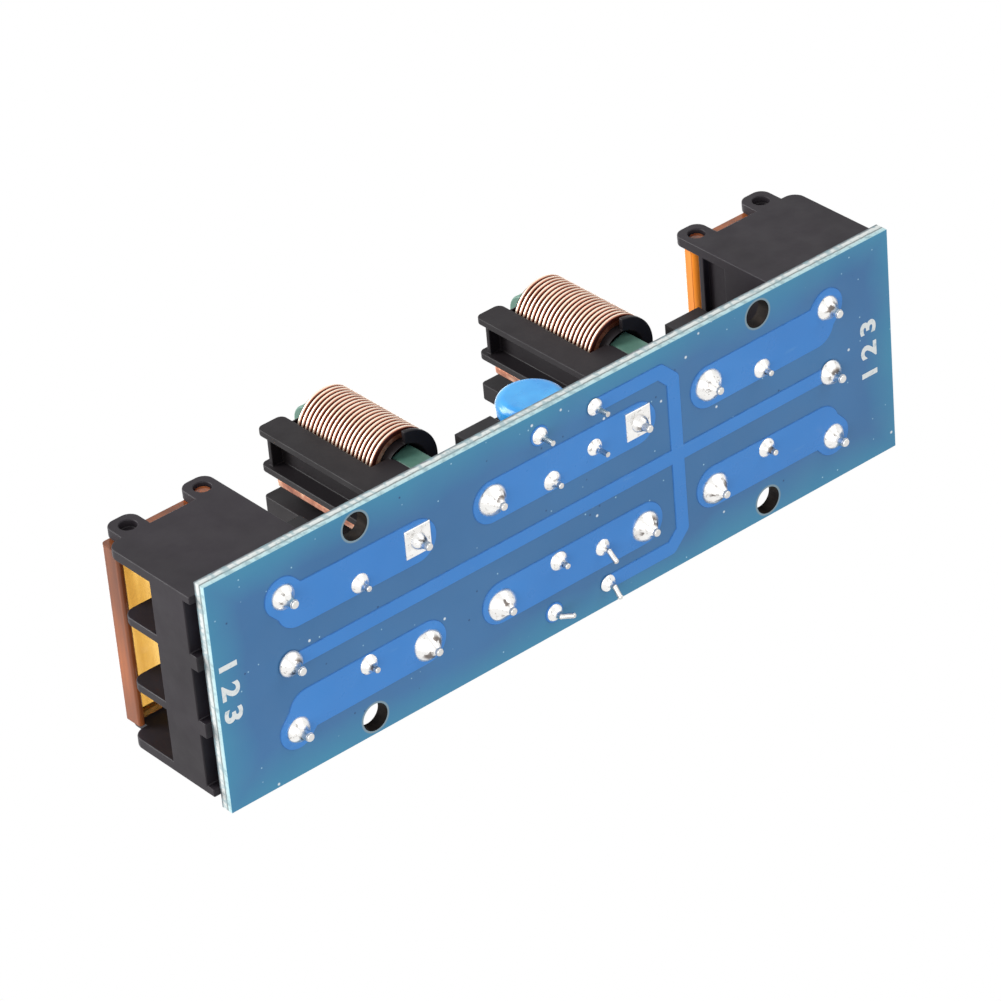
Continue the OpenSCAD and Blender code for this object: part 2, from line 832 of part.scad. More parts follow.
module bleed_resistor() {
    cap_l = res_l * 0.26;
    color([0.35, 0.60, 0.72])
        translate([bleed_x, res_l / 2, board_t + res_lift + res_d / 2])
            rotate([90, 0, 0])
                rotate_extrude() {
                    soft_rect(res_d / 2, cap_l, lr = 0.5, ur = 0.3);
                    translate([0, res_l - cap_l])
                        soft_rect(res_d / 2, cap_l, lr = 0.3, ur = 0.5);
                    translate([0, cap_l / 2])
                        square([res_d * 0.42, res_l - cap_l]);
                }
}

module bleed_resistor_leads() {
    bend = 0.6;
    z = board_t + res_lift + res_d / 2;
    color([0.78, 0.78, 0.78])
        for (l = res_leads) {
            s = sign(l[1]);
            wire([bleed_x, s * res_l / 2, z], [bleed_x, l[1] - s * bend, z], l[2]);
            wire([bleed_x, l[1] - s * bend, z], [bleed_x, l[1], z - bend], l[2]);
            board_lead(l, z - bend);
        }
}

// Places: supply end, load end and the two chokes

module at_line() {
    translate([-term_front, 0, board_t])
        children();
}

module at_load() {
    rotate([0, 0, 180])
        at_line()
            children();
}

module at_choke(i) {
    translate([choke_x[i], 0, board_t])
        children();
}

black = [0.19, 0.18, 0.20];
amber = [0.85, 0.48, 0.12, 0.7];
brass = [0.80, 0.66, 0.34];
steel = [0.72, 0.72, 0.74];
ferrite = [0.13, 0.36, 0.30];
copper = [0.82, 0.48, 0.34];

circuit_board();
copper_tracks();
solder_joints();
color(black) at_line() terminal_housing();  // line_terminal_housing
color(amber) at_line() terminal_cover();  // line_terminal_cover
color(brass) at_line() contact(poles[0]);  // line_contact_1
color(brass) at_line() contact(poles[1]);  // line_contact_2
color(brass) at_line() contact(poles[2]);  // line_contact_3
color(steel) at_line() clamp_washer(poles[0]);  // line_clamp_washer_1
color(steel) at_line() clamp_washer(poles[1]);  // line_clamp_washer_2
color(steel) at_line() clamp_washer(poles[2]);  // line_clamp_washer_3
color(steel) at_line() terminal_screw(poles[0]);  // line_terminal_screw_1
color(steel) at_line() terminal_screw(poles[1]);  // line_terminal_screw_2
color(steel) at_line() terminal_screw(poles[2]);  // line_terminal_screw_3
color(black) at_load() terminal_housing();  // load_terminal_housing
color(amber) at_load() terminal_cover();  // load_terminal_cover
color(brass) at_load() contact(poles[0]);  // load_contact_1
color(brass) at_load() contact(poles[1]);  // load_contact_2
color(brass) at_load() contact(poles[2]);  // load_contact_3
color(steel) at_load() clamp_washer(poles[0]);  // load_clamp_washer_1
color(steel) at_load() clamp_washer(poles[1]);  // load_clamp_washer_2
color(steel) at_load() clamp_washer(poles[2]);  // load_clamp_washer_3
color(steel) at_load() terminal_screw(poles[0]);  // load_terminal_screw_1
color(steel) at_load() terminal_screw(poles[1]);  // load_terminal_screw_2
color(steel) at_load() terminal_screw(poles[2]);  // load_terminal_screw_3
color(black) at_choke(0) choke_base();  // line_choke_base
color(black) at_choke(0) choke_bobbin();  // line_choke_bobbin
color(ferrite) at_choke(0) choke_lower_core();  // line_choke_lower_core
color(ferrite) at_choke(0) choke_upper_core();  // line_choke_upper_core
color(copper) at_choke(0) choke_coil();  // line_choke_coil_a
color(copper) at_choke(0) mirror([0, 1, 0]) choke_coil();  // line_choke_coil_b
color(black) at_choke(1) choke_base();  // load_choke_base
color(black) at_choke(1) choke_bobbin();  // load_choke_bobbin
color(ferrite) at_choke(1) choke_lower_core();  // load_choke_lower_core
color(ferrite) at_choke(1) choke_upper_core();  // load_choke_upper_core
color(copper) at_choke(1) choke_coil();  // load_choke_coil_a
color(copper) at_choke(1) mirror([0, 1, 0]) choke_coil();  // load_choke_coil_b
xcap_body(xcap_x[0]);  // input_x_capacitor
xcap_wires(xcap_x[0]);  // input_x_capacitor_leads
xcap_body(xcap_x[1]);  // middle_x_capacitor
xcap_wires(xcap_x[1]);  // middle_x_capacitor_leads
xcap_body(xcap_x[2]);  // output_x_capacitor
xcap_wires(xcap_x[2]);  // output_x_capacitor_leads
ycap_body(0);  // y_capacitor_a
ycap_wires(0);  // y_capacitor_a_leads
ycap_body(1);  // y_capacitor_b
ycap_wires(1);  // y_capacitor_b_leads
bleed_resistor();
bleed_resistor_leads();
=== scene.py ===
import json
import math
import random

import bmesh
import bpy
from mathutils import Matrix, Vector


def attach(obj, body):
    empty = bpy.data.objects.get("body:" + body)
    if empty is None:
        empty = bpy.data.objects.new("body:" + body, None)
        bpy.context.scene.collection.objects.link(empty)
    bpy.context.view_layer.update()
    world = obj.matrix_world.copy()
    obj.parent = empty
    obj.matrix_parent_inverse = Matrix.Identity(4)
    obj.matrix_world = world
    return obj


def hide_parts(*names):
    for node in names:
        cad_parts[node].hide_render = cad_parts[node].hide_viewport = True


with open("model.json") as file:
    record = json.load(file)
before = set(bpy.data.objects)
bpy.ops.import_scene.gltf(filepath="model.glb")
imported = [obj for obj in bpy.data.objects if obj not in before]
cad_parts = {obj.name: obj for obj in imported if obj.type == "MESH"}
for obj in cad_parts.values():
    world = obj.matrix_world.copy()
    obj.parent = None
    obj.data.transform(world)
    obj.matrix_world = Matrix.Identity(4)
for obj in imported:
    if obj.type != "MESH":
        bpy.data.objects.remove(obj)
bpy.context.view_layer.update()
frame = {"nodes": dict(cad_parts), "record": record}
nodes = frame["nodes"]
print("frame loaded,", len(nodes), "nodes")

mm = 0.001
deg = math.pi / 180

# Places that several pieces share, in mm, as in the part's source
board = {"length": 93.0, "width": 27.5, "thick": 1.6, "track": 0.1, "holeX": 27.5, "holeY": 11.75}
terminal = {"pinX": 37.3, "pitch": 24.4 / 3}
choke = {"centres": (-15.0, 15.0), "coilX": 2.0, "coilY": 7.5, "pinX": 5.0, "pinY": 6.5}
boxCaps = {"names": ("input", "middle", "output"), "x": (-27.7, -2.0, 27.6), "pinY": 5.0}
discLeads = [(-3.1, -11.0), (4.4, -11.0), (-3.1, 11.0), (4.4, 11.0)]
bleedLeads = [(4.0, -6.25), (4.0, 6.25)]

# Most of a noise texture falls between these two levels
usual = {"low": 0.3, "high": 0.7}


def srgb(red, green, blue):
    # Colour on the 0..255 scale, turned into Blender's linear scale
    def linear(level):
        level /= 255
        return level / 12.92 if level <= 0.04045 else ((level + 0.055) / 1.055) ** 2.4
    return (linear(red), linear(green), linear(blue), 1.0)


class Finish:
    # A material with its Principled shader, and short calls for the nodes that feed it

    def __init__(self, name, **sockets):
        self.material = bpy.data.materials.new(name)
        self.material.use_nodes = True
        self.tree = self.material.node_tree
        self.shader = self.tree.nodes["Principled BSDF"]
        self.place = self.tree.nodes.new("ShaderNodeTexCoord").outputs["Object"]
        for socket, value in sockets.items():
            self.shader.inputs[socket].default_value = value

    def add(self, kind, **settings):
        node = self.tree.nodes.new(kind)
        for name, value in settings.items():
            setattr(node, name, value)
        return node

    def link(self, source, target):
        self.tree.links.new(source, target)

    def noise(self, scale, detail, stretch=(1, 1, 1)):
        # Its grains to a metre, how many finer layers it has, and its share of grains along each axis
        mapping = self.add("ShaderNodeMapping")
        mapping.inputs["Scale"].default_value = stretch
        self.link(self.place, mapping.inputs["Vector"])
        node = self.add("ShaderNodeTexNoise")
        node.inputs["Scale"].default_value = scale
        node.inputs["Detail"].default_value = detail
        self.link(mapping.outputs["Vector"], node.inputs["Vector"])
        return node.outputs["Fac"]

    def cells(self, scale):
        node = self.add("ShaderNodeTexVoronoi")
        node.inputs["Scale"].default_value = scale
        self.link(self.place, node.inputs["Vector"])
        return node

    def ramp(self, source, *stops):
        node = self.add("ShaderNodeValToRGB")
        while len(node.color_ramp.elements) < len(stops):
            node.color_ramp.elements.new(0.5)
        for element, (position, colour) in zip(node.color_ramp.elements, stops):
            element.position = position
            element.color = colour
        self.link(source, node.inputs["Fac"])
        return node.outputs["Color"]

    def tones(self, source, dark, light):
        return self.ramp(source, (usual["low"], dark), (usual["high"], light))

    def levels(self, source, low, high, toLow=0.0, toHigh=1.0):
        node = self.add("ShaderNodeMapRange")
        node.inputs["From Min"].default_value = low
        node.inputs["From Max"].default_value = high
        node.inputs["To Min"].default_value = toLow
        node.inputs["To Max"].default_value = toHigh
        self.link(source, node.inputs["Value"])
        return node.outputs["Result"]

    def math(self, operation, first, second=None):
        node = self.add("ShaderNodeMath", operation=operation)
        for socket, value in zip(node.inputs, (first, second)):
            if value is None:
                continue
            if isinstance(value, (int, float)):
                socket.default_value = value
            else:
                self.link(value, socket)
        return node.outputs["Value"]

    def times(self, first, second):
        return self.math("MULTIPLY", first, second)

    def less(self, first, second):
        return self.math("SUBTRACT", first, second)

    def gap(self, first, second):
        # How far two values are apart
        return self.math("ABSOLUTE", self.less(first, second))

    def slant(self, across, up):
        # Length of the long side of a right triangle
        return self.math("SQRT", self.math("ADD", self.times(across, across), self.times(up, up)))

    def mix(self, factor, first, second):
        node = self.add("ShaderNodeMix", data_type="RGBA")
        for name, value in (("Factor", factor), ("A", first), ("B", second)):
            sockets = [s for s in node.inputs if s.name == name and s.enabled]
            if isinstance(value, (int, float, tuple)):
                sockets[0].default_value = value
            else:
                self.link(value, sockets[0])
        return [s for s in node.outputs if s.enabled][0]

    def axis(self, name):
        node = self.add("ShaderNodeSeparateXYZ")
        self.link(self.place, node.inputs["Vector"])
        return node.outputs[name]

    def bump(self, source, strength, depth):
        # The depth is in mm
        node = self.add("ShaderNodeBump")
        node.inputs["Strength"].default_value = strength
        node.inputs["Distance"].default_value = depth * mm
        self.link(source, node.inputs["Height"])
        self.link(node.outputs["Normal"], self.shader.inputs["Normal"])

    def paint(self, colour):
        self.link(colour, self.shader.inputs["Base Color"])

    def dull(self, source, shiny, matt, low=usual["low"], high=usual["high"]):
        # The roughness goes from shiny to matt as the source goes from low to high
        self.link(self.levels(source, low, high, shiny, matt), self.shader.inputs["Roughness"])


def mouldedBlack(name, dark, light, grainSize, gloss):
    # Matt black nylon: faint flow marks, a fine spark texture and rubbed, duller patches
    finish = Finish(name, **{"Specular IOR Level": gloss})
    flow = finish.noise(120, 4, (1, 1, 0.35))
    finish.paint(finish.ramp(flow, (0.3, dark), (0.75, light)))
    finish.dull(finish.noise(350, 2), 0.42, 0.58)
    finish.bump(finish.noise(grainSize, 3), strength=0.35, depth=0.03)
    return finish.material


maskLook = {
    # In mm: the rim's fading, how far it wanders, and the bare ring round a hole
    "rimFrom": 2.2, "rimTo": 7.0, "wander": 6.0, "ringOuter": 1.86, "ringInner": 1.78,
    "rim": srgb(70, 148, 184), "bare": srgb(132, 158, 172),
    "middle": ((0.30, srgb(62, 115, 166)), (0.55, srgb(69, 122, 174)), (0.75, srgb(68, 127, 182))),
    # Cells to a metre, share of them left out, radius of the fleck in a cell, colour
    "flecks": (
        (900, 0.72, 0.10, srgb(176, 220, 240)),
        (520, 0.90, 0.11, srgb(232, 244, 250)),
        (700, 0.86, 0.11, srgb(44, 84, 128)),
    ),
}


def boardMask():
    # Blue mask over bare laminate, greener towards the edges, with dust and print flecks,
    # and a bare ring round each hole
    finish = Finish("solderMaskBlue", **{"Specular IOR Level": 0.35})
    farX = finish.math("ABSOLUTE", finish.axis("X"))
    farY = finish.math("ABSOLUTE", finish.axis("Y"))
    edge = finish.math("MINIMUM", finish.less(board["length"] / 2 * mm, farX),
                       finish.less(board["width"] / 2 * mm, farY))
    edge = finish.math("ADD", edge, finish.times(finish.noise(70, 3), maskLook["wander"] * mm))
    rim = finish.levels(edge, maskLook["rimFrom"] * mm, maskLook["rimTo"] * mm)
    base = finish.mix(rim, maskLook["rim"], finish.ramp(finish.noise(45, 5), *maskLook["middle"]))
    for size, share, limit, colour in maskLook["flecks"]:
        specks = finish.cells(size)
        small = finish.levels(specks.outputs["Distance"], limit, limit * 0.5)
        parts = finish.add("ShaderNodeSeparateColor")
        finish.link(specks.outputs["Color"], parts.inputs["Color"])
        chosen = finish.math("GREATER_THAN", parts.outputs["Red"], share)
        base = finish.mix(finish.times(small, chosen), base, colour)
    away = finish.slant(finish.less(farX, board["holeX"] * mm), finish.less(farY, board["holeY"] * mm))
    ring = finish.levels(away, maskLook["ringOuter"] * mm, maskLook["ringInner"] * mm)
    finish.paint(finish.mix(ring, base, maskLook["bare"]))
    finish.dull(finish.noise(240, 3), 0.30, 0.44)
    finish.bump(finish.noise(900, 2), strength=0.10, depth=0.02)
    return finish.material


def trackMask():
    # The same mask over copper: brighter and smoother, with faint scuffs
    finish = Finish("solderMaskOverCopper", **{"Specular IOR Level": 0.35})
    cloud = finish.ramp(finish.noise(60, 5), (0.25, srgb(60, 134, 213)), (0.75, srgb(70, 145, 224)))
    scuffs = finish.levels(finish.noise(700, 5, (0.25, 1, 1)), 0.66, 0.74)
    finish.paint(finish.mix(finish.times(scuffs, 0.25), cloud, srgb(110, 170, 225)))
    finish.dull(finish.noise(300, 3), 0.24, 0.40)
    finish.bump(finish.noise(500, 3), strength=0.12, depth=0.02)
    return finish.material


def trackRim():
    # The mask gathers at the edge of the copper, so the edge looks a little deeper
    finish = Finish("solderMaskRim", Roughness=0.45, **{"Specular IOR Level": 0.25})
    finish.paint(finish.tones(finish.noise(800, 3), srgb(50, 112, 186), srgb(64, 128, 200)))
    finish.bump(finish.noise(1200, 2), strength=0.1, depth=0.01)
    return finish.material


laminateLook = {
    # How far the layers wander, in mm
    "wander": 0.25, "fibre": srgb(126, 158, 166),
    # Share of the board's thickness, from the solder face up, and the colour there
    "layers": (
        (0.0, srgb(118, 166, 184)), (0.14, srgb(172, 208, 214)), (0.40, srgb(188, 210, 212)),
        (0.52, srgb(104, 112, 112)), (0.62, srgb(206, 212, 210)), (0.86, srgb(214, 218, 216)),
        (1.0, srgb(110, 118, 122)),
    ),
}


def laminateEdge():
    # Sawn glass laminate: chalky white with the darker core line and fibre ends
    finish = Finish("laminateEdge", **{"Specular IOR Level": 0.3})
    wander = finish.times(finish.noise(1500, 3), laminateLook["wander"] * mm)
    height = finish.levels(finish.math("ADD", finish.axis("Z"), wander), 0.0, board["thick"] * mm)
    layers = finish.ramp(height, *laminateLook["layers"])
    fibres = finish.levels(finish.noise(1500, 5, (1, 1, 0.6)), 0.48, 0.62)
    finish.paint(finish.mix(finish.times(fibres, 0.6), layers, laminateLook["fibre"]))
    finish.dull(finish.noise(1500, 2), 0.65, 0.85)
    finish.bump(finish.noise(3000, 4, (1, 1, 0.3)), strength=0.5, depth=0.05)
    return finish.material


def holeWallPaintedShade():
    # Drilled wall of a mounting hole, painted near black as painted shade inside the narrow hole
    finish = Finish("drilledLaminatePaintedShade", **{"Specular IOR Level": 0.1})
    finish.paint(finish.tones(finish.noise(1300, 4, (1, 1, 0.3)), srgb(22, 20, 20), srgb(44, 38, 34)))
    finish.dull(finish.noise(900, 2), 0.6, 0.85)
    finish.bump(finish.noise(2600, 4, (1, 1, 0.3)), strength=0.5, depth=0.05)
    return finish.material


def whiteInk():
    finish = Finish("whiteInk", Roughness=0.6)
    patchy = finish.noise(1500, 4)
    finish.paint(finish.ramp(patchy, (0.28, srgb(196, 214, 220)), (0.45, srgb(240, 245, 245))))
    finish.bump(finish.noise(2500, 2), strength=0.2, depth=0.01)
    return finish.material


tinLook = {
    "frost": ((0.3, srgb(250, 249, 247)), (0.62, srgb(238, 236, 233)), (0.8, srgb(206, 200, 194))),
    "paintedDarkReflection": srgb(88, 74, 66), "grains": srgb(132, 124, 118),
    # Depth under the board in mm, where the painted dark reflection round a joint's neck fades in and out
    "neckFrom": 0.7, "neckFull": 1.0, "neckFades": 1.4, "neckEnds": 1.7,
}


def tinSolder():
    # Bright tin with frosty patches where it froze last, and a painted dark reflection round the neck of
    # each pin
    finish = Finish("tinSolder", Metallic=1.0)
    frost = finish.noise(900, 5)
    depth = finish.times(finish.axis("Z"), -1)
    neck = finish.levels(depth, tinLook["neckFrom"] * mm, tinLook["neckFull"] * mm)
    clean = finish.levels(depth, tinLook["neckEnds"] * mm, tinLook["neckFades"] * mm)
    # Painted dark reflection in patches round the neck of each joint
    paintedDarkReflection = finish.levels(finish.noise(900, 3), 0.52, 0.58)
    paintedDarkReflection = finish.times(paintedDarkReflection, finish.times(neck, clean))
    bright = finish.mix(finish.times(paintedDarkReflection, 0.85), finish.ramp(frost, *tinLook["frost"]), tinLook["paintedDarkReflection"])
    grains = finish.levels(finish.noise(2600, 3), 0.60, 0.68)
    finish.paint(finish.mix(finish.times(grains, 0.5), bright, tinLook["grains"]))
    finish.dull(frost, 0.14, 0.38, low=0.35, high=0.75)
    finish.bump(finish.noise(700, 4), strength=0.4, depth=0.1)
    return finish.material


def leadTin():
    # Tinned wire, drawn lengthwise
    finish = Finish("tinnedWire", Metallic=1.0)
    drawn = finish.noise(1800, 3, (1, 1, 0.1))
    finish.paint(finish.tones(drawn, srgb(196, 194, 192), srgb(226, 224, 220)))
    finish.dull(drawn, 0.22, 0.40)
    finish.bump(drawn, strength=0.2, depth=0.02)
    return finish.material


copperLook = {
    # In mm: radius over which the turns go from painted shade, dark, to a painted highlight, pale, on their
    # outer edge, and how far the noise shakes it
    "shadeToHighlightFrom": 3.95, "shadeToHighlightTo": 4.15, "shake": 0.06,
    # In mm: middle of the band that takes the painted shade and highlight, and how far from it the band
    # fades
    "band": 3.9, "bandFades": 0.36, "bandEnds": 0.4,
    # Heights in mm: the lowest turn's underside, and the tinned foot of the pins
    "underside": 10.5, "turnsFrom": 10.6, "tinned": 1.7, "bareFrom": 1.9,
    # Painted shade between the turns, dark red, rising to a painted highlight, pale, on their outer edge
    "edge": (
        (0.0, srgb(84, 36, 26)), (0.46, srgb(134, 68, 47)),
        (0.70, srgb(204, 132, 100)), (0.88, srgb(255, 234, 212)),
    ),
    "flat": ((0.34, srgb(128, 66, 44)), (0.50, srgb(186, 118, 88)), (0.64, srgb(236, 190, 158))),
    "streak": srgb(112, 54, 36), "tin": srgb(226, 224, 220),
}


def enamelledCopperPaintedLight():
    # Clear red-gold enamel over flat copper wire, with a painted highlight, pale, on the outer edge of each
    # turn and painted shade, dark red, between the turns
    look = copperLook
    finish = Finish("enamelledCopperPaintedLight", Metallic=0.55, **{"Coat Weight": 0.15, "Coat Roughness": 0.2})
    fromX = finish.less(finish.gap(finish.axis("X"), choke["coilX"] * mm), choke["centres"][1] * mm)
    fromY = finish.less(finish.math("ABSOLUTE", finish.axis("Y")), choke["coilY"] * mm)
    shake = finish.times(finish.less(finish.noise(420, 4), 0.5), look["shake"] * mm)
    away = finish.math("ADD", finish.slant(fromX, fromY), shake)
    # Painted shade between the turns and a painted highlight on their outer edge, set by the radius
    edge = finish.ramp(finish.levels(away, look["shadeToHighlightFrom"] * mm, look["shadeToHighlightTo"] * mm), *look["edge"])
    offBand = finish.gap(away, look["band"] * mm)
    paintedLightBand = finish.levels(offBand, look["bandEnds"] * mm, look["bandFades"] * mm)
    # The painted shade and highlight stop at the lowest turn's underside, which keeps the plain copper
    # colour
    underside = finish.levels(finish.axis("Z"), look["turnsFrom"] * mm, look["underside"] * mm)
    paintedLightBand = finish.times(paintedLightBand, finish.less(1.0, underside))
    streaks = finish.levels(finish.noise(1000, 4, (1, 1, 0.25)), 0.52, 0.70)
    flat = finish.ramp(finish.noise(420, 4), *look["flat"])
    flat = finish.mix(finish.times(streaks, 0.7), flat, look["streak"])
    body = finish.mix(paintedLightBand, flat, edge)
    foot = finish.levels(finish.axis("Z"), look["bareFrom"] * mm, look["tinned"] * mm)
    finish.paint(finish.mix(foot, body, look["tin"]))
    finish.dull(finish.noise(900, 3), 0.22, 0.38)
    finish.bump(finish.noise(1600, 3), strength=0.15, depth=0.03)
    return finish.material


def amberPlastic(name, clear, deep, middle, pale):
    # Clear amber plastic: honey where light comes through, with flow lines along the cover
    # and light rubbing
    finish = Finish(name, **{"Transmission Weight": clear, "IOR": 1.49, "Specular IOR Level": 0.4})
    flow = finish.times(finish.noise(520, 3, (1, 0.06, 1)), 0.6)
    cloud = finish.times(finish.noise(150, 4, (1, 0.5, 1)), 0.4)
    finish.paint(finish.ramp(finish.math("ADD", flow, cloud), (0.36, deep), (0.5, middle), (0.64, pale)))
    finish.dull(finish.noise(420, 3), 0.05, 0.16, low=0.35)
    finish.bump(finish.noise(140, 2, (1, 0.25, 1)), strength=0.05, depth=0.04)
    return finish.material


# Heights in mm: the pin is tinned up to the first, and all brass from the second on
brassLook = {"tinnedTo": 2.8, "brassFrom": 3.2}


def stampedBrass():
    # Rolled brass plate whose pin is tinned where it goes through the board
    finish = Finish("stampedBrass", Metallic=1.0)
    rolled = finish.noise(700, 4, (0.15, 1, 1))
    brass = finish.tones(rolled, srgb(186, 158, 96), srgb(214, 188, 124))
    tinned = finish.levels(finish.axis("Z"), brassLook["brassFrom"] * mm, brassLook["tinnedTo"] * mm)
    finish.paint(finish.mix(tinned, brass, srgb(222, 221, 218)))
    finish.dull(rolled, 0.26, 0.44)
    finish.bump(rolled, strength=0.2, depth=0.03)
    return finish.material


def zincSteel():
    # Zinc-plated screws and washers, slightly blue, with tumbled dents
    finish = Finish("zincSteel", Metallic=1.0)
    plate = finish.noise(600, 4)
    finish.paint(finish.tones(plate, srgb(176, 180, 186), srgb(212, 214, 216)))
    finish.dull(plate, 0.24, 0.42)
    finish.bump(finish.noise(1300, 3), strength=0.25, depth=0.04)
    return finish.material


def greenFerrite():
    # Epoxy-coated ferrite: green paint with pits and a soft shine
    finish = Finish("greenFerriteCoat", **{"Specular IOR Level": 0.5})
    finish.paint(finish.tones(finish.noise(380, 5), srgb(70, 108, 95), srgb(98, 136, 120)))
    finish.dull(finish.noise(500, 3), 0.34, 0.52)
    finish.bump(finish.noise(750, 4), strength=0.5, depth=0.06)
    return finish.material


def blueLacquer():
    # Dipped sky-blue lacquer with a slow orange-peel surface
    finish = Finish("skyBlueLacquer", **{"Coat Weight": 0.35, "Coat Roughness": 0.1})
    finish.paint(finish.tones(finish.noise(300, 3), srgb(30, 140, 214), srgb(58, 170, 234)))
    finish.dull(finish.noise(500, 2), 0.24, 0.38)
    finish.bump(finish.noise(520, 2), strength=0.4, depth=0.1)
    return finish.material


bleederLook = {
    # Half the width of a band in mm, and where its edge fades to
    "bandFull": 0.24, "bandEnds": 0.27,
    # Place along the body in mm, and colour
    "bands": (
        (-2.3, srgb(120, 62, 30)), (-1.35, srgb(24, 24, 26)), (-0.45, srgb(24, 24, 26)),
        (0.45, srgb(226, 184, 40)), (2.2, srgb(120, 62, 30)),
    ),
}


def resistorPaint():
    # Pale blue film resistor with colour bands round it
    finish = Finish("bandedResistorPaint", **{"Coat Weight": 0.3, "Coat Roughness": 0.15})
    along = finish.math("DIVIDE", finish.axis("Y"), mm)
    body = finish.tones(finish.noise(400, 3), srgb(92, 152, 178), srgb(112, 172, 196))
    for centre, colour in bleederLook["bands"]:
        band = finish.levels(finish.gap(along, centre), bleederLook["bandEnds"], bleederLook["bandFull"])
        body = finish.mix(band, body, colour)
    finish.paint(body)
    finish.dull(finish.noise(700, 2), 0.26, 0.40)
    finish.bump(finish.noise(600, 3), strength=0.25, depth=0.05)
    return finish.material


finishes = {
    "housing": mouldedBlack("terminalNylon", srgb(27, 23, 27), srgb(40, 35, 41), 1400, 0.24),
    "bobbin": mouldedBlack("bobbinNylon", srgb(24, 21, 23), srgb(36, 32, 35), 1800, 0.2),
    "boxCase": mouldedBlack("capacitorCase", srgb(27, 26, 28), srgb(41, 39, 42), 1000, 0.26),
    "holeWallPaintedShade": holeWallPaintedShade(), "mask": boardMask(), "track": trackMask(), "trackRim": trackRim(),
    "laminate": laminateEdge(), "ink": whiteInk(), "solder": tinSolder(), "wire": leadTin(),
    "copper": enamelledCopperPaintedLight(), "brass": stampedBrass(),
    "amber": amberPlastic("amberPlate", 0.80, srgb(142, 100, 38), srgb(170, 130, 60), srgb(200, 164, 96)),
    "amberLip": amberPlastic("amberLip", 0.15, srgb(100, 54, 32), srgb(136, 76, 44), srgb(176, 98, 50)),
    # Opaque bright orange: a painted glow of light coming out at the clear plate's edge
    "amberEdgePaintedGlow": amberPlastic("amberEdgePaintedGlow", 0.0, srgb(246, 134, 34), srgb(250, 150, 54), srgb(252, 174, 90)),
    "zinc": zincSteel(), "ferrite": greenFerrite(), "lacquer": blueLacquer(),
    "resistor": resistorPaint(),
}
print("materials ready,", len(finishes))

bodyOf = {name: body for body, names in frame["record"]["behaviour"]["bodies"].items() for name in names}


def makePiece(name, bm, materials, stands, smooth, body="filter_board"):
    mesh = bpy.data.meshes.new(name)
    bm.to_mesh(mesh)
    bm.free()
    mesh.shade_smooth()
    mesh.set_sharp_from_angle(angle=smooth * deg)
    piece = bpy.data.objects.new(name, mesh)
    bpy.context.scene.collection.objects.link(piece)
    for key in materials:
        mesh.materials.append(finishes[key])
    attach(piece, body)
    if stands:
        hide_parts(*stands)
    return piece


# Distance in mm that counts as one place, and degrees that count as one plane
copying = {"weld": 0.002, "flat": 0.5}


def cadCopy(nodeName):
    # Welded copy of a CAD node, with its flat faces made whole again
    bm = bmesh.new()
    bm.from_mesh(nodes[nodeName].data)
    bmesh.ops.remove_doubles(bm, verts=bm.verts, dist=copying["weld"] * mm)
    bmesh.ops.dissolve_limit(bm, angle_limit=copying["flat"] * deg, verts=bm.verts, edges=bm.edges)
    return bm


def bevelEdges(bm, edges, width, segments):
    bmesh.ops.bevel(bm, geom=edges, offset=width, offset_type="OFFSET", affect="EDGES",
                    segments=segments, profile=0.5, material=-1, clamp_overlap=False)


def vertsOf(geometry):
    return [g for g in geometry if isinstance(g, bmesh.types.BMVert)]


def edgesOf(geometry):
    return [g for g in geometry if isinstance(g, bmesh.types.BMEdge)]


def edgesAround(verts):
    # Every edge at these points, once each and always in the same order
    return list(dict.fromkeys(e for v in verts for e in v.link_edges))


def extend(bm, geometry, step=(0, 0, 0)):
    # Pushes the open end of a band on by one step
    out = bmesh.ops.extrude_edge_only(bm, edges=edgesOf(geometry))["geom"]
    verts = vertsOf(out)
    bmesh.ops.translate(bm, verts=verts, vec=step)
    return verts + [e for e in edgesOf(out) if all(v in verts for v in e.verts)]


rounding = {
    "sharper": 30, "segments": 2, "smooth": 40, "shadingWeight": 90,
    # A strip is wide enough for two roundings from this many radii on
    "room": 2.05,
    # Places along an edge where the strip beside it is measured
    "looks": (0.15, 0.5, 0.85), "widest": 1.0, "none": 1e-7,
}


def roomBeside(edge, face):
    # How wide the face is, straight across from the edge, at its narrowest of three places
    loop = next(l for l in face.loops if l.edge == edge)
    first, last = loop.vert.co, loop.link_loop_next.vert.co
    along = (last - first).normalized()
    inward = face.normal.cross(along)
    room = rounding["widest"]
    for share in rounding["looks"]:
        spot = first.lerp(last, share)
        for other in face.loops:
            if other == loop:
                continue
            near, far = other.vert.co - spot, other.link_loop_next.vert.co - spot
            nearU, farU = near.dot(along), far.dot(along)
            if (nearU < 0) != (farU < 0):
                crossing = near.lerp(far, nearU / (nearU - farU)).dot(inward)
                if crossing > rounding["none"]:
                    room = min(room, crossing)
    return room


def turningEdges(bm):
    # Edges between two faces that meet at a clear angle
    return [e for e in bm.edges
            if len(e.link_faces) == 2 and e.calc_face_angle(0) > rounding["sharper"] * deg]


def roundEdges(bm, radius, wary=False):
    turning = set(turningEdges(bm))
    rounded = set(turning)
    # When wary, a run of edges beside a strip that is too thin for two roundings stays crisp
    thin = rounding["room"] * radius * mm
    crisp = [e for e in turning if wary and any(roomBeside(e, face) < thin for face in e.link_faces)]
    rounded.difference_update(crisp)
    while crisp:
        edge = crisp.pop()
        for vert in edge.verts:
            onward = [e for e in vert.link_edges if e != edge and e in turning]
            if len(onward) == 1 and onward[0] in rounded:
                rounded.remove(onward[0])
                crisp.append(onward[0])
    bevelEdges(bm, [e for e in bm.edges if e in rounded], radius * mm, rounding["segments"])


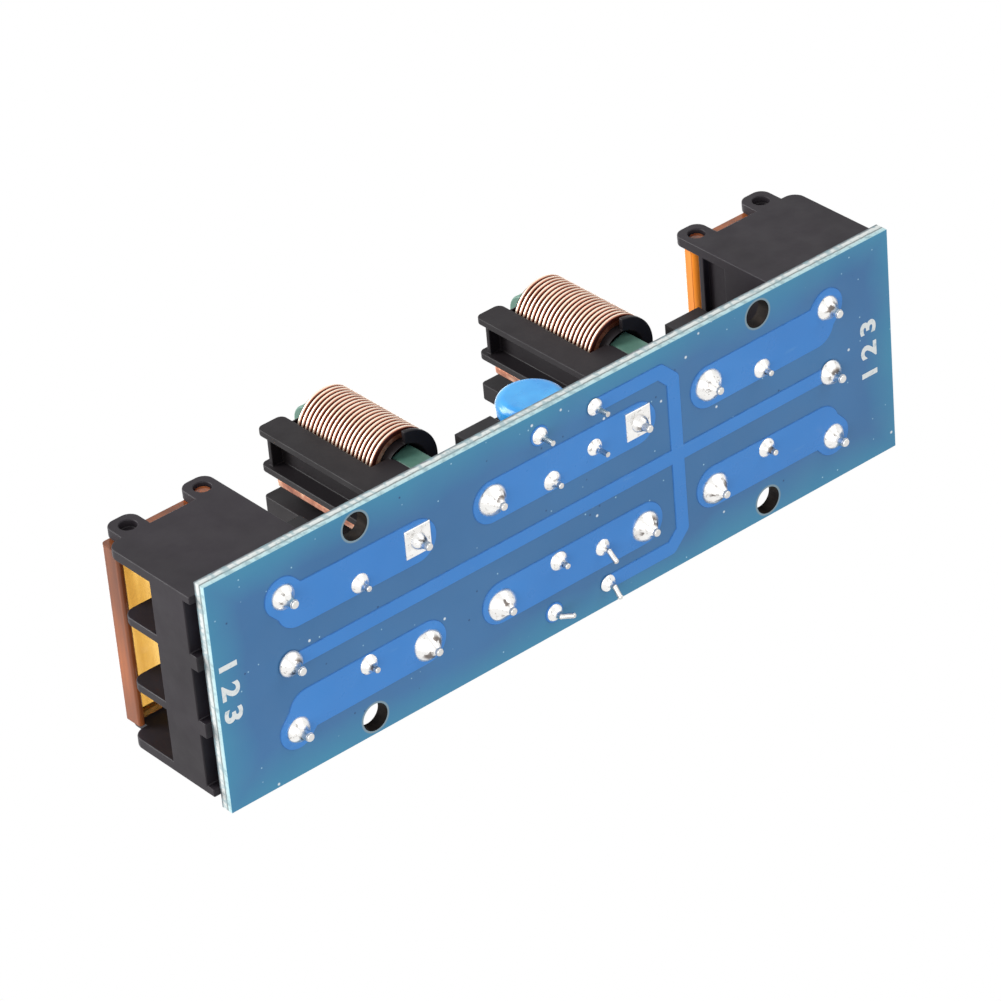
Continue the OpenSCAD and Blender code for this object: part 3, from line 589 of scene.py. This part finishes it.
def evenShading(piece):
    # Large flat faces keep their own direction, and only the rounded edges turn
    weighted = piece.modifiers.new("evenShading", "WEIGHTED_NORMAL")
    weighted.keep_sharp = True
    weighted.weight = rounding["shadingWeight"]


def softened(nodeName, name, finish, radius, wary=False):
    bm = cadCopy(nodeName)
    roundEdges(bm, radius, wary)
    evenShading(makePiece(name, bm, [finish], (nodeName,), rounding["smooth"], bodyOf[nodeName]))


# A wall this close to the outline, in mm, is sawn edge. A flat face points up or down by more
# than this share, and the rest are walls
panel = {"edge": 0.1, "flat": 0.5, "smooth": 30}


def makeBoard():
    bm = cadCopy("circuit_board")
    for face in bm.faces:
        spot = face.calc_center_median()
        inside = (abs(spot.x) < (board["length"] / 2 - panel["edge"]) * mm
                  and abs(spot.y) < (board["width"] / 2 - panel["edge"]) * mm)
        # Walls inside the holes take the hole wall's painted shade
        face.material_index = 0 if abs(face.normal.z) > panel["flat"] else (2 if inside else 1)
    makePiece("board_panel", bm, ["mask", "laminate", "holeWallPaintedShade"], ("circuit_board",),
              panel["smooth"])


# The tracks' outer rims lie under this height in mm, and are chamfered by the width
tracks = {"under": -0.05, "chamfer": 0.07, "flat": 0.95, "smooth": 30}


def makeTracks():
    bm = cadCopy("copper_tracks")
    low = [e for e in turningEdges(bm) if all(v.co.z < tracks["under"] * mm for v in e.verts)]
    bevelEdges(bm, low, tracks["chamfer"] * mm, 1)
    bm.normal_update()
    for face in bm.faces:
        face.material_index = 0 if abs(face.normal.z) > tracks["flat"] else 1
    piece = makePiece("board_tracks", bm, ["track", "trackRim"], ("copper_tracks",),
                      tracks["smooth"])
    for polygon in piece.data.polygons:
        polygon.use_smooth = abs(polygon.normal.z) < tracks["flat"]


makeBoard()
makeTracks()
print("board done")


solder = {
    "seed": 7, "sides": 28, "wander": 0.08, "sag": 0.04, "clearance": 0.01, "flare": 0.08,
    # Size of each ripple round a joint, its waves to a turn, and its share of the phase
    "ripples": ((0.04, 2, 1), (0.03, 3, -2), (0.02, 5, 3)),
    # In mm for each kind of joint: pad width, lead width and rise, and then the outline
    "terminalPin": (3.0, 1.0, 1.85, "cone"),
    "boxLead": (2.3, 0.7, 1.1, "cone"),
    "thinLead": (2.0, 0.6, 0.95, "cone"),
    "chokeSquare": (2.2, 0.86, 1.7, "dome"),
    "chokeRound": (3.7, 0.86, 1.7, "dome"),
    # Share of the pad radius, and share of the height, from the pad up to the lead
    "dome": (
        (1.0, 0.0), (0.995, 0.08), (0.93, 0.20), (0.80, 0.36), (0.63, 0.52), (0.46, 0.68), (0.33, 0.84),
    ),
    "cone": (
        (1.0, 0.0), (0.985, 0.07), (0.90, 0.18), (0.74, 0.30), (0.57, 0.42), (0.44, 0.56), (0.35, 0.76),
    ),
    # Square pads in mm, with their middle this far under the tracks
    "square": {"wide": 3.4, "thick": 0.3, "under": 0.08, "round": 0.14, "segments": 3},
    "blobSmooth": 80, "padSmooth": 40,
}


def solderBlob(bm, x, y, padWide, leadWide, rise, outline, chance):
    lean = Vector((chance.uniform(-1, 1), chance.uniform(-1, 1))) * solder["wander"]
    phase = chance.uniform(0, 6.28)
    ring = bmesh.ops.create_circle(bm, cap_ends=False, segments=solder["sides"], radius=1.0)["verts"]
    loops = [ring]
    last = edgesAround(ring)
    for _ in solder[outline]:
        last = extend(bm, last)
        loops.append(vertsOf(last))
    leadRadius = leadWide / 2 + solder["clearance"]
    for loop, spot in zip(loops, list(solder[outline]) + [None]):
        share = 1.0 if spot is None else spot[1]
        swell = 4 * share * (1 - share)
        for vert in loop:
            angle = math.atan2(vert.co.y, vert.co.x)
            radius = leadRadius
            if spot is not None:
                radius = max(padWide / 2 * spot[0], leadRadius + solder["flare"] * (1 - share))
                radius *= 1 + swell * sum(size * math.sin(waves * angle + shift * phase)
                                          for size, waves, shift in solder["ripples"])
            sag = solder["sag"] * math.sin(angle + phase) * swell
            vert.co = Vector((x + radius * math.cos(angle) + lean.x * swell,
                              y + radius * math.sin(angle) + lean.y * swell,
                              -board["track"] - rise * (share + sag))) * mm


def squarePad(bm, x, y):
    # Flat tinned pad with crisp corners under a choke's first pin
    square = solder["square"]
    pad = bmesh.ops.create_cube(bm, size=1.0)["verts"]
    bmesh.ops.scale(bm, verts=pad, vec=(square["wide"] * mm, square["wide"] * mm, square["thick"] * mm))
    bmesh.ops.translate(bm, verts=pad, vec=(x * mm, y * mm, (-board["track"] - square["under"]) * mm))
    rim = [e for e in edgesAround(pad) if all(v.co.z < -board["track"] * mm for v in e.verts)]
    bevelEdges(bm, rim, square["round"] * mm, square["segments"])


def makeSolder():
    chance = random.Random(solder["seed"])
    bm, pads = bmesh.new(), bmesh.new()
    rows = []
    for side in (-1, 1):
        for pole in (-1, 0, 1):
            rows.append((side * terminal["pinX"], pole * terminal["pitch"], "terminalPin"))
    for x in boxCaps["x"]:
        for side in (-1, 1):
            rows.append((x, side * boxCaps["pinY"], "boxLead"))
    for x, y in discLeads + bleedLeads:
        rows.append((x, y, "thinLead"))
    for centre in choke["centres"]:
        for across in (-1, 1):
            for along in (-1, 1):
                x, y = centre + across * choke["pinX"], along * choke["pinY"]
                isFirst = across + along < 0
                rows.append((x, y, "chokeSquare" if isFirst else "chokeRound"))
                if isFirst:
                    squarePad(pads, x, y)
    for x, y, kind in rows:
        solderBlob(bm, x, y, *solder[kind], chance)
    bmesh.ops.remove_doubles(bm, verts=bm.verts, dist=copying["weld"] * mm)
    # Flat lids close each joint against its pad and round its lead, and full creases keep their rims
    crease = bm.edges.layers.float.new("crease_edge")
    rims = [e for e in bm.edges if e.is_boundary]
    for edge in rims:
        edge[crease] = 1.0
    bmesh.ops.holes_fill(bm, edges=rims, sides=solder["sides"])
    bmesh.ops.recalc_face_normals(bm, faces=bm.faces)
    blobs = makePiece("solder_blobs", bm, ["solder"], ("solder_joints",), solder["blobSmooth"])
    for polygon in blobs.data.polygons:
        polygon.use_smooth = len(polygon.vertices) < solder["sides"]
    smooth = blobs.modifiers.new("round", "SUBSURF")
    smooth.levels = smooth.render_levels = 1
    makePiece("square_pads", pads, ["solder"], ("solder_joints",), solder["padSmooth"])


makeSolder()
print("solder done")


# Numbers in white ink, three to each end of the solder face, in mm
numbers = {
    "text": "1 2 3", "high": 2.3, "wide": 7.0, "bold": 0.035, "thick": 0.02,
    "lineX": -45.95, "loadX": 44.3, "middleY": -0.3, "curveSteps": 6, "weld": 1e-5, "smooth": 35,
}


def makeNumbers(name, baseX, turn):
    curve = bpy.data.curves.new(name, "FONT")
    curve.body = numbers["text"]
    curve.size = 1.0
    curve.resolution_u = numbers["curveSteps"]
    curve.offset = numbers["bold"]
    helper = bpy.data.objects.new(name + "_curve", curve)
    bpy.context.scene.collection.objects.link(helper)
    mesh = bpy.data.meshes.new_from_object(helper.evaluated_get(bpy.context.evaluated_depsgraph_get()))
    bpy.data.objects.remove(helper)
    bm = bmesh.new()
    bm.from_mesh(mesh)
    bmesh.ops.remove_doubles(bm, verts=bm.verts, dist=numbers["weld"])
    xs = [v.co.x for v in bm.verts]
    ys = [v.co.y for v in bm.verts]
    scaleX = numbers["wide"] / (max(xs) - min(xs))
    scaleY = numbers["high"] / (max(ys) - min(ys))
    bmesh.ops.translate(bm, verts=bm.verts, vec=(-(max(xs) + min(xs)) / 2, -min(ys), 0))
    bmesh.ops.scale(bm, verts=bm.verts, vec=(scaleX * mm, scaleY * mm, mm))
    # Reading along the board's width, tops towards its middle, seen from below
    place = Matrix(((0, turn, 0, baseX * mm), (turn, 0, 0, numbers["middleY"] * mm),
                    (0, 0, -1, 0), (0, 0, 0, 1)))
    bmesh.ops.transform(bm, matrix=place, verts=bm.verts)
    top = vertsOf(bmesh.ops.extrude_face_region(bm, geom=bm.faces[:])["geom"])
    bmesh.ops.translate(bm, verts=top, vec=(0, 0, -numbers["thick"] * mm))
    bmesh.ops.recalc_face_normals(bm, faces=bm.faces)
    makePiece(name, bm, ["ink"], (), numbers["smooth"])


makeNumbers("numbers_line_end", numbers["lineX"], 1)
makeNumbers("numbers_load_end", numbers["loadX"], -1)
print("numbers done")


# In mm: where pins start and end to narrow, and the rounding of their tips.
# A contact's pin and a box capacitor's lead keep these shares of their width.
tips = {
    "start": -0.1, "end": -2.2, "round": 0.16, "segments": 3, "footBand": 0.01, "smooth": 40,
    "contactKeeps": 0.78, "leadKeeps": 0.8,
}


def taperedPins(nodeName, name, finish, axes, keep):
    # Copy of a node whose pins narrow to a rounded tip under the board
    bm = cadCopy(nodeName)
    lowest = min(v.co.z for v in bm.verts)
    rim = [e for e in bm.edges if all(v.co.z < lowest + tips["footBand"] * mm for v in e.verts)]
    bevelEdges(bm, rim, tips["round"] * mm, tips["segments"])
    for vert in bm.verts:
        depth = (tips["start"] * mm - vert.co.z) / ((tips["start"] - tips["end"]) * mm)
        if depth <= 0:
            continue
        x, y = min(axes, key=lambda axis: math.hypot(vert.co.x - axis[0] * mm, vert.co.y - axis[1] * mm))
        share = 1 - (1 - keep) * min(depth, 1)
        vert.co.x = x * mm + (vert.co.x - x * mm) * share
        vert.co.y = y * mm + (vert.co.y - y * mm) * share
    evenShading(makePiece(name, bm, [finish], (nodeName,), tips["smooth"], bodyOf[nodeName]))


blocks = {
    "housingRound": 0.14, "coverRound": 0.14, "screwRound": 0.1, "washerRound": 0.1,
    # Where a cover's lip and side walls begin, and where its hinge barrel ends, in mm
    "lipX": 45.2, "coverSide": 10.6, "barrelX": 35.0, "barrelZ": 17.0,
    # How much of a face's direction must point sideways, or to the rear
    "sideways": 0.7, "rearward": 0.5,
}


def makeCover(end):
    # Clear plate between brown lips, and a bar along the rear painted bright orange, a painted glow where
    # the light comes out
    nodeName = end + "_terminal_cover"
    bm = cadCopy(nodeName)
    roundEdges(bm, blocks["coverRound"], wary=True)
    for face in bm.faces:
        spot, way = face.calc_center_median() / mm, face.normal
        onSide = abs(spot.y) > blocks["coverSide"] and abs(way.y) > blocks["sideways"]
        onBarrel = abs(spot.x) < blocks["barrelX"] and spot.z < blocks["barrelZ"]
        atRear = abs(way.x) > blocks["rearward"] and way.x * spot.x < 0
        if abs(spot.x) > blocks["lipX"] or onSide:
            face.material_index = 1
        # The rear faces and the hinge barrel take the painted glow
        elif onBarrel or atRear:
            face.material_index = 2
    evenShading(makePiece(end + "_block_cover", bm, ["amber", "amberLip", "amberEdgePaintedGlow"],
                          (nodeName,), rounding["smooth"], bodyOf[nodeName]))


for end, side in (("line", -1), ("load", 1)):
    softened(end + "_terminal_housing", end + "_block_body", "housing",
             blocks["housingRound"])
    makeCover(end)
    row = [(side * terminal["pinX"], k * terminal["pitch"]) for k in (-1, 0, 1)]
    for pole in ("1", "2", "3"):
        softened(end + "_terminal_screw_" + pole, end + "_clamp_bolt_" + pole, "zinc",
                 blocks["screwRound"])
        softened(end + "_clamp_washer_" + pole, end + "_clamp_plate_" + pole, "zinc",
                 blocks["washerRound"])
        taperedPins(end + "_contact_" + pole, end + "_clamp_tab_" + pole, "brass",
                    row, tips["contactKeeps"])
print("terminal blocks done")


winding = {
    "turns": 20, "pitch": 0.625, "thick": 0.45, "wide": 1.3, "inner": 2.85, "bottom": 10.4, "sides": 12,
    "stepsPerTurn": 56, "startAngle": 18.435, "endAngle": 90.0, "lastSteps": 11, "smooth": 50,
    # The strip from the last turn to the pin: it bends down, and folds over to the pin's head
    "outletY": -3.5, "bendRadius": 0.6, "bendSteps": 6, "stripX": -5.0, "foot": 2.75, "fold": 0.1,
    # Share of the outlet's run, and share of its sideways shift, in each of its steps
    "outlet": ((0.12, 0.0), (0.16, 0.2), (0.16, 0.6), (0.16, 0.2), (0.40, 0.0)),
    "pinY": -6.5, "pinWide": 0.9, "pinFoot": -2.2, "pinSides": 20, "pinRound": 0.2, "pinSegments": 3,
    # In mm: what counts as one place, as one level, and as the height of the last turn's open end
    "weld": 0.001, "level": 0.01, "endBand": 0.5,
}


def windingTurn(middle, lowest, climb):
    # One whole turn of the flat wire, from its start angle
    w = winding
    bm = bmesh.new()
    section = bmesh.ops.create_circle(bm, cap_ends=False, segments=w["sides"],
                                      radius=w["thick"] / 2)["verts"]
    for vert in section:
        vert.co.x += math.copysign((w["wide"] - w["thick"]) / 2, vert.co.x)
    stand = Matrix.Translation((middle, 0, lowest)) @ Matrix.Rotation(90 * deg, 4, "X")
    bmesh.ops.transform(bm, matrix=Matrix.Rotation(w["startAngle"] * deg, 4, "Z") @ stand, verts=section)
    steps = w["stepsPerTurn"]
    bmesh.ops.spin(bm, geom=section + bm.edges[:], cent=(0, 0, 0), axis=(0, 0, 1), angle=360 * deg,
                   dvec=(0, 0, climb / steps), steps=steps, use_merge=False)
    mesh = bpy.data.meshes.new("oneTurn")
    bm.to_mesh(mesh)
    bm.free()
    return mesh


def roundPin(bm, x, y, top):
    # Straight pin with its foot cut clean and slightly rounded
    w = winding
    pin = bmesh.ops.create_cone(bm, cap_ends=True, segments=w["pinSides"], radius1=w["pinWide"] / 2,
                                radius2=w["pinWide"] / 2, depth=top - w["pinFoot"])["verts"]
    bmesh.ops.translate(bm, verts=pin, vec=(x, y, (top + w["pinFoot"]) / 2))
    rim = [e for e in edgesAround(pin) if all(v.co.z < w["pinFoot"] + w["level"] for v in e.verts)]
    bevelEdges(bm, rim, w["pinRound"], w["pinSegments"])


def makeCoil(name, centreX, mirrored, standsFor):
    w = winding
    middle = w["inner"] + w["wide"] / 2
    lowest = w["bottom"] + (w["pitch"] - w["thick"]) / 2 + w["thick"] / 2
    partTurn = w["endAngle"] - w["startAngle"]
    climb = w["pitch"] * w["turns"] / (w["turns"] + partTurn / 360)
    turn = windingTurn(middle, lowest, climb)
    bm = bmesh.new()
    for count in range(w["turns"]):
        known = len(bm.verts)
        bm.from_mesh(turn)
        bm.verts.ensure_lookup_table()
        bmesh.ops.translate(bm, verts=bm.verts[known:], vec=(0, 0, count * climb))
    bpy.data.meshes.remove(turn)
    bmesh.ops.remove_doubles(bm, verts=bm.verts, dist=w["weld"])
    openEdges = [e for e in bm.edges if e.is_boundary]
    height = max(v.co.z for e in openEdges for v in e.verts)
    last = [e for e in openEdges if all(v.co.z > height - w["endBand"] for v in e.verts)]
    first = [e for e in openEdges if e not in last]
    bmesh.ops.contextual_create(bm, geom=first)
    ring = list(dict.fromkeys(v for e in last for v in e.verts))
    last = bmesh.ops.spin(bm, geom=ring + last, cent=(0, 0, 0), axis=(0, 0, 1), angle=partTurn * deg,
                          dvec=(0, 0, climb / w["stepsPerTurn"]), steps=w["lastSteps"])["geom_last"]
    bmesh.ops.translate(bm, verts=bm.verts, vec=(choke["coilX"], -choke["coilY"], 0))
    # Outlet: sideways in a few small steps, then over the edge and down to the pin
    shift = w["outletY"] - (-choke["coilY"] + middle)
    run = choke["coilX"] - w["stripX"] - w["bendRadius"]
    for share, drift in w["outlet"]:
        last = extend(bm, last, (-run * share, shift * drift, 0))
    top = max(v.co.z for v in vertsOf(last)) - w["thick"] / 2
    bendZ = top - w["bendRadius"]
    last = bmesh.ops.spin(bm, geom=last, cent=(w["stripX"] + w["bendRadius"], 0, bendZ),
                          axis=(0, -1, 0), angle=90 * deg, steps=w["bendSteps"])["geom_last"]
    turnZ = w["foot"] + w["wide"] + w["fold"]
    last = extend(bm, last, (0, 0, turnZ - bendZ))
    turnY = w["outletY"] - w["wide"] / 2 - w["fold"]
    last = bmesh.ops.spin(bm, geom=last, cent=(w["stripX"], turnY, turnZ),
                          axis=(-1, 0, 0), angle=90 * deg, steps=w["bendSteps"])["geom_last"]
    last = extend(bm, last, (0, w["pinY"] - turnY, 0))
    bmesh.ops.contextual_create(bm, geom=edgesOf(last))
    roundPin(bm, w["stripX"], w["pinY"], w["foot"] + w["wide"])
    roundPin(bm, -w["stripX"], w["pinY"], lowest)
    if mirrored:
        bmesh.ops.scale(bm, verts=bm.verts, vec=(1, -1, 1))
    bmesh.ops.translate(bm, verts=bm.verts, vec=(centreX, 0, 0))
    bmesh.ops.scale(bm, verts=bm.verts, vec=(mm, mm, mm))
    bmesh.ops.recalc_face_normals(bm, faces=bm.faces)
    makePiece(name, bm, ["copper"], (standsFor,), w["smooth"])


# Roundings in mm
chokeParts = {"bobbinRound": 0.12, "baseRound": 0.08, "coreRound": 0.22}

for end, centre in zip(("line", "load"), choke["centres"]):
    makeCoil(end + "_winding_a", centre, False, end + "_choke_coil_a")
    makeCoil(end + "_winding_b", centre, True, end + "_choke_coil_b")
    softened(end + "_choke_bobbin", end + "_bobbin_frame", "bobbin",
             chokeParts["bobbinRound"])
    softened(end + "_choke_base", end + "_bobbin_foot", "bobbin",
             chokeParts["baseRound"])
    for half in ("lower", "upper"):
        softened(end + "_choke_" + half + "_core", end + "_core_" + half, "ferrite",
                 chokeParts["coreRound"])
print("chokes done")


capacitorCase = {"round": 0.14}

for which, x in zip(boxCaps["names"], boxCaps["x"]):
    softened(which + "_x_capacitor", which + "_box_case", "boxCase",
             capacitorCase["round"], wary=True)
    axes = [(x, side * boxCaps["pinY"]) for side in (-1, 1)]
    taperedPins(which + "_x_capacitor_leads", which + "_box_pins", "wire", axes, tips["leadKeeps"])


def repaint(nodeName, finish):
    # The CAD solid stays as it is and only takes a new finish
    nodes[nodeName].data.materials.clear()
    nodes[nodeName].data.materials.append(finishes[finish])


for nodeName, finish in (("y_capacitor_a", "lacquer"), ("y_capacitor_b", "lacquer"),
                         ("bleed_resistor", "resistor")):
    repaint(nodeName, finish)
    repaint(nodeName + "_leads", "wire")
print("capacitors and resistor done")


stage = {
    "cameraAt": (-286.953, -301.775, -358.689),
    "right": (0.757068, 0.075166, -0.648998), "up": (0.404251, -0.834265, 0.374944),
    "lens": 190.24, "sensor": 36, "clipNear": 0.01, "clipFar": 20,
    "floorZ": -2.24, "floorRadius": 5.0, "floorSides": 96, "floorGrey": 0.86, "ambient": 0.45,
    # Name, place in mm, watts, size in mm
    "lamps": (
        ("lampBelowLeft", (-420, -160, -420), 1.6, 420),
        ("lampBelowRight", (260, -420, -320), 0.6, 420),
        ("lampAboveFront", (-400, -400, 400), 4.5, 420),
        ("lampLeft", (-430, -40, 540), 2.6, 300),
        ("lampAboveBack", (380, 340, 460), 1.8, 500),
    ),
}


def makeCamera():
    data = bpy.data.cameras.new("photoCamera")
    data.lens = stage["lens"]
    data.sensor_width = stage["sensor"]
    data.clip_start = stage["clipNear"]
    data.clip_end = stage["clipFar"]
    camera = bpy.data.objects.new("photoCamera", data)
    right, up = Vector(stage["right"]).normalized(), Vector(stage["up"]).normalized()
    back = right.cross(up).normalized()
    turn = Matrix((right, up, back)).transposed().to_4x4()
    camera.matrix_world = Matrix.Translation(Vector(stage["cameraAt"]) * mm) @ turn
    bpy.context.scene.collection.objects.link(camera)
    bpy.context.scene.camera = camera


def makeLamps():
    for name, place, watts, size in stage["lamps"]:
        lamp = bpy.data.lights.new(name, "AREA")
        lamp.energy = watts
        lamp.size = size * mm
        holder = bpy.data.objects.new(name, lamp)
        holder.location = Vector(place) * mm
        holder.rotation_mode = "QUATERNION"
        holder.rotation_quaternion = Vector(place).to_track_quat("Z", "Y")
        bpy.context.scene.collection.objects.link(holder)


def makeFloor():
    bm = bmesh.new()
    bmesh.ops.create_circle(bm, cap_ends=True, segments=stage["floorSides"], radius=stage["floorRadius"])
    bmesh.ops.translate(bm, verts=bm.verts, vec=(0, 0, stage["floorZ"] * mm))
    mesh = bpy.data.meshes.new("paleFloor")
    bm.to_mesh(mesh)
    bm.free()
    floor = bpy.data.objects.new("paleFloor", mesh)
    bpy.context.scene.collection.objects.link(floor)
    # Seen from above the floor is pale, and from below it lets everything through
    material = bpy.data.materials.new("paleFloor")
    material.use_nodes = True
    tree = material.node_tree
    paint = tree.nodes["Principled BSDF"]
    paint.inputs["Base Color"].default_value = (stage["floorGrey"],) * 3 + (1,)
    paint.inputs["Roughness"].default_value = 0.7
    paint.inputs["Specular IOR Level"].default_value = 0.1
    side = tree.nodes.new("ShaderNodeNewGeometry")
    clear = tree.nodes.new("ShaderNodeBsdfTransparent")
    mix = tree.nodes.new("ShaderNodeMixShader")
    tree.links.new(side.outputs["Backfacing"], mix.inputs["Fac"])
    tree.links.new(paint.outputs["BSDF"], mix.inputs[1])
    tree.links.new(clear.outputs["BSDF"], mix.inputs[2])
    tree.links.new(mix.outputs["Shader"], tree.nodes["Material Output"].inputs["Surface"])
    mesh.materials.append(material)
    floor.visible_shadow = False
    floor.visible_diffuse = False
    floor.visible_glossy = False
    floor.visible_transmission = False


def makeBackdrop():
    # White wherever it is seen, mirrored or looked at through the covers, and dimmer as a light
    world = bpy.data.worlds.new("whiteStudio")
    bpy.context.scene.world = world
    world.use_nodes = True
    tree = world.node_tree
    tree.nodes.clear()
    mix = tree.nodes.new("ShaderNodeMixShader")
    for strength, socket in ((stage["ambient"], mix.inputs[1]), (1.0, mix.inputs[2])):
        light = tree.nodes.new("ShaderNodeBackground")
        light.inputs["Color"].default_value = (1, 1, 1, 1)
        light.inputs["Strength"].default_value = strength
        tree.links.new(light.outputs["Background"], socket)
    rays = tree.nodes.new("ShaderNodeLightPath")
    seen = rays.outputs["Is Camera Ray"]
    for kind in ("Is Glossy Ray", "Is Transmission Ray"):
        either = tree.nodes.new("ShaderNodeMath")
        either.operation = "MAXIMUM"
        tree.links.new(seen, either.inputs[0])
        tree.links.new(rays.outputs[kind], either.inputs[1])
        seen = either.outputs["Value"]
    tree.links.new(seen, mix.inputs["Fac"])
    output = tree.nodes.new("ShaderNodeOutputWorld")
    tree.links.new(mix.outputs["Shader"], output.inputs["Surface"])


makeCamera()
makeLamps()
makeFloor()
makeBackdrop()
bpy.context.scene.view_settings.view_transform = "Standard"
print("stage done")
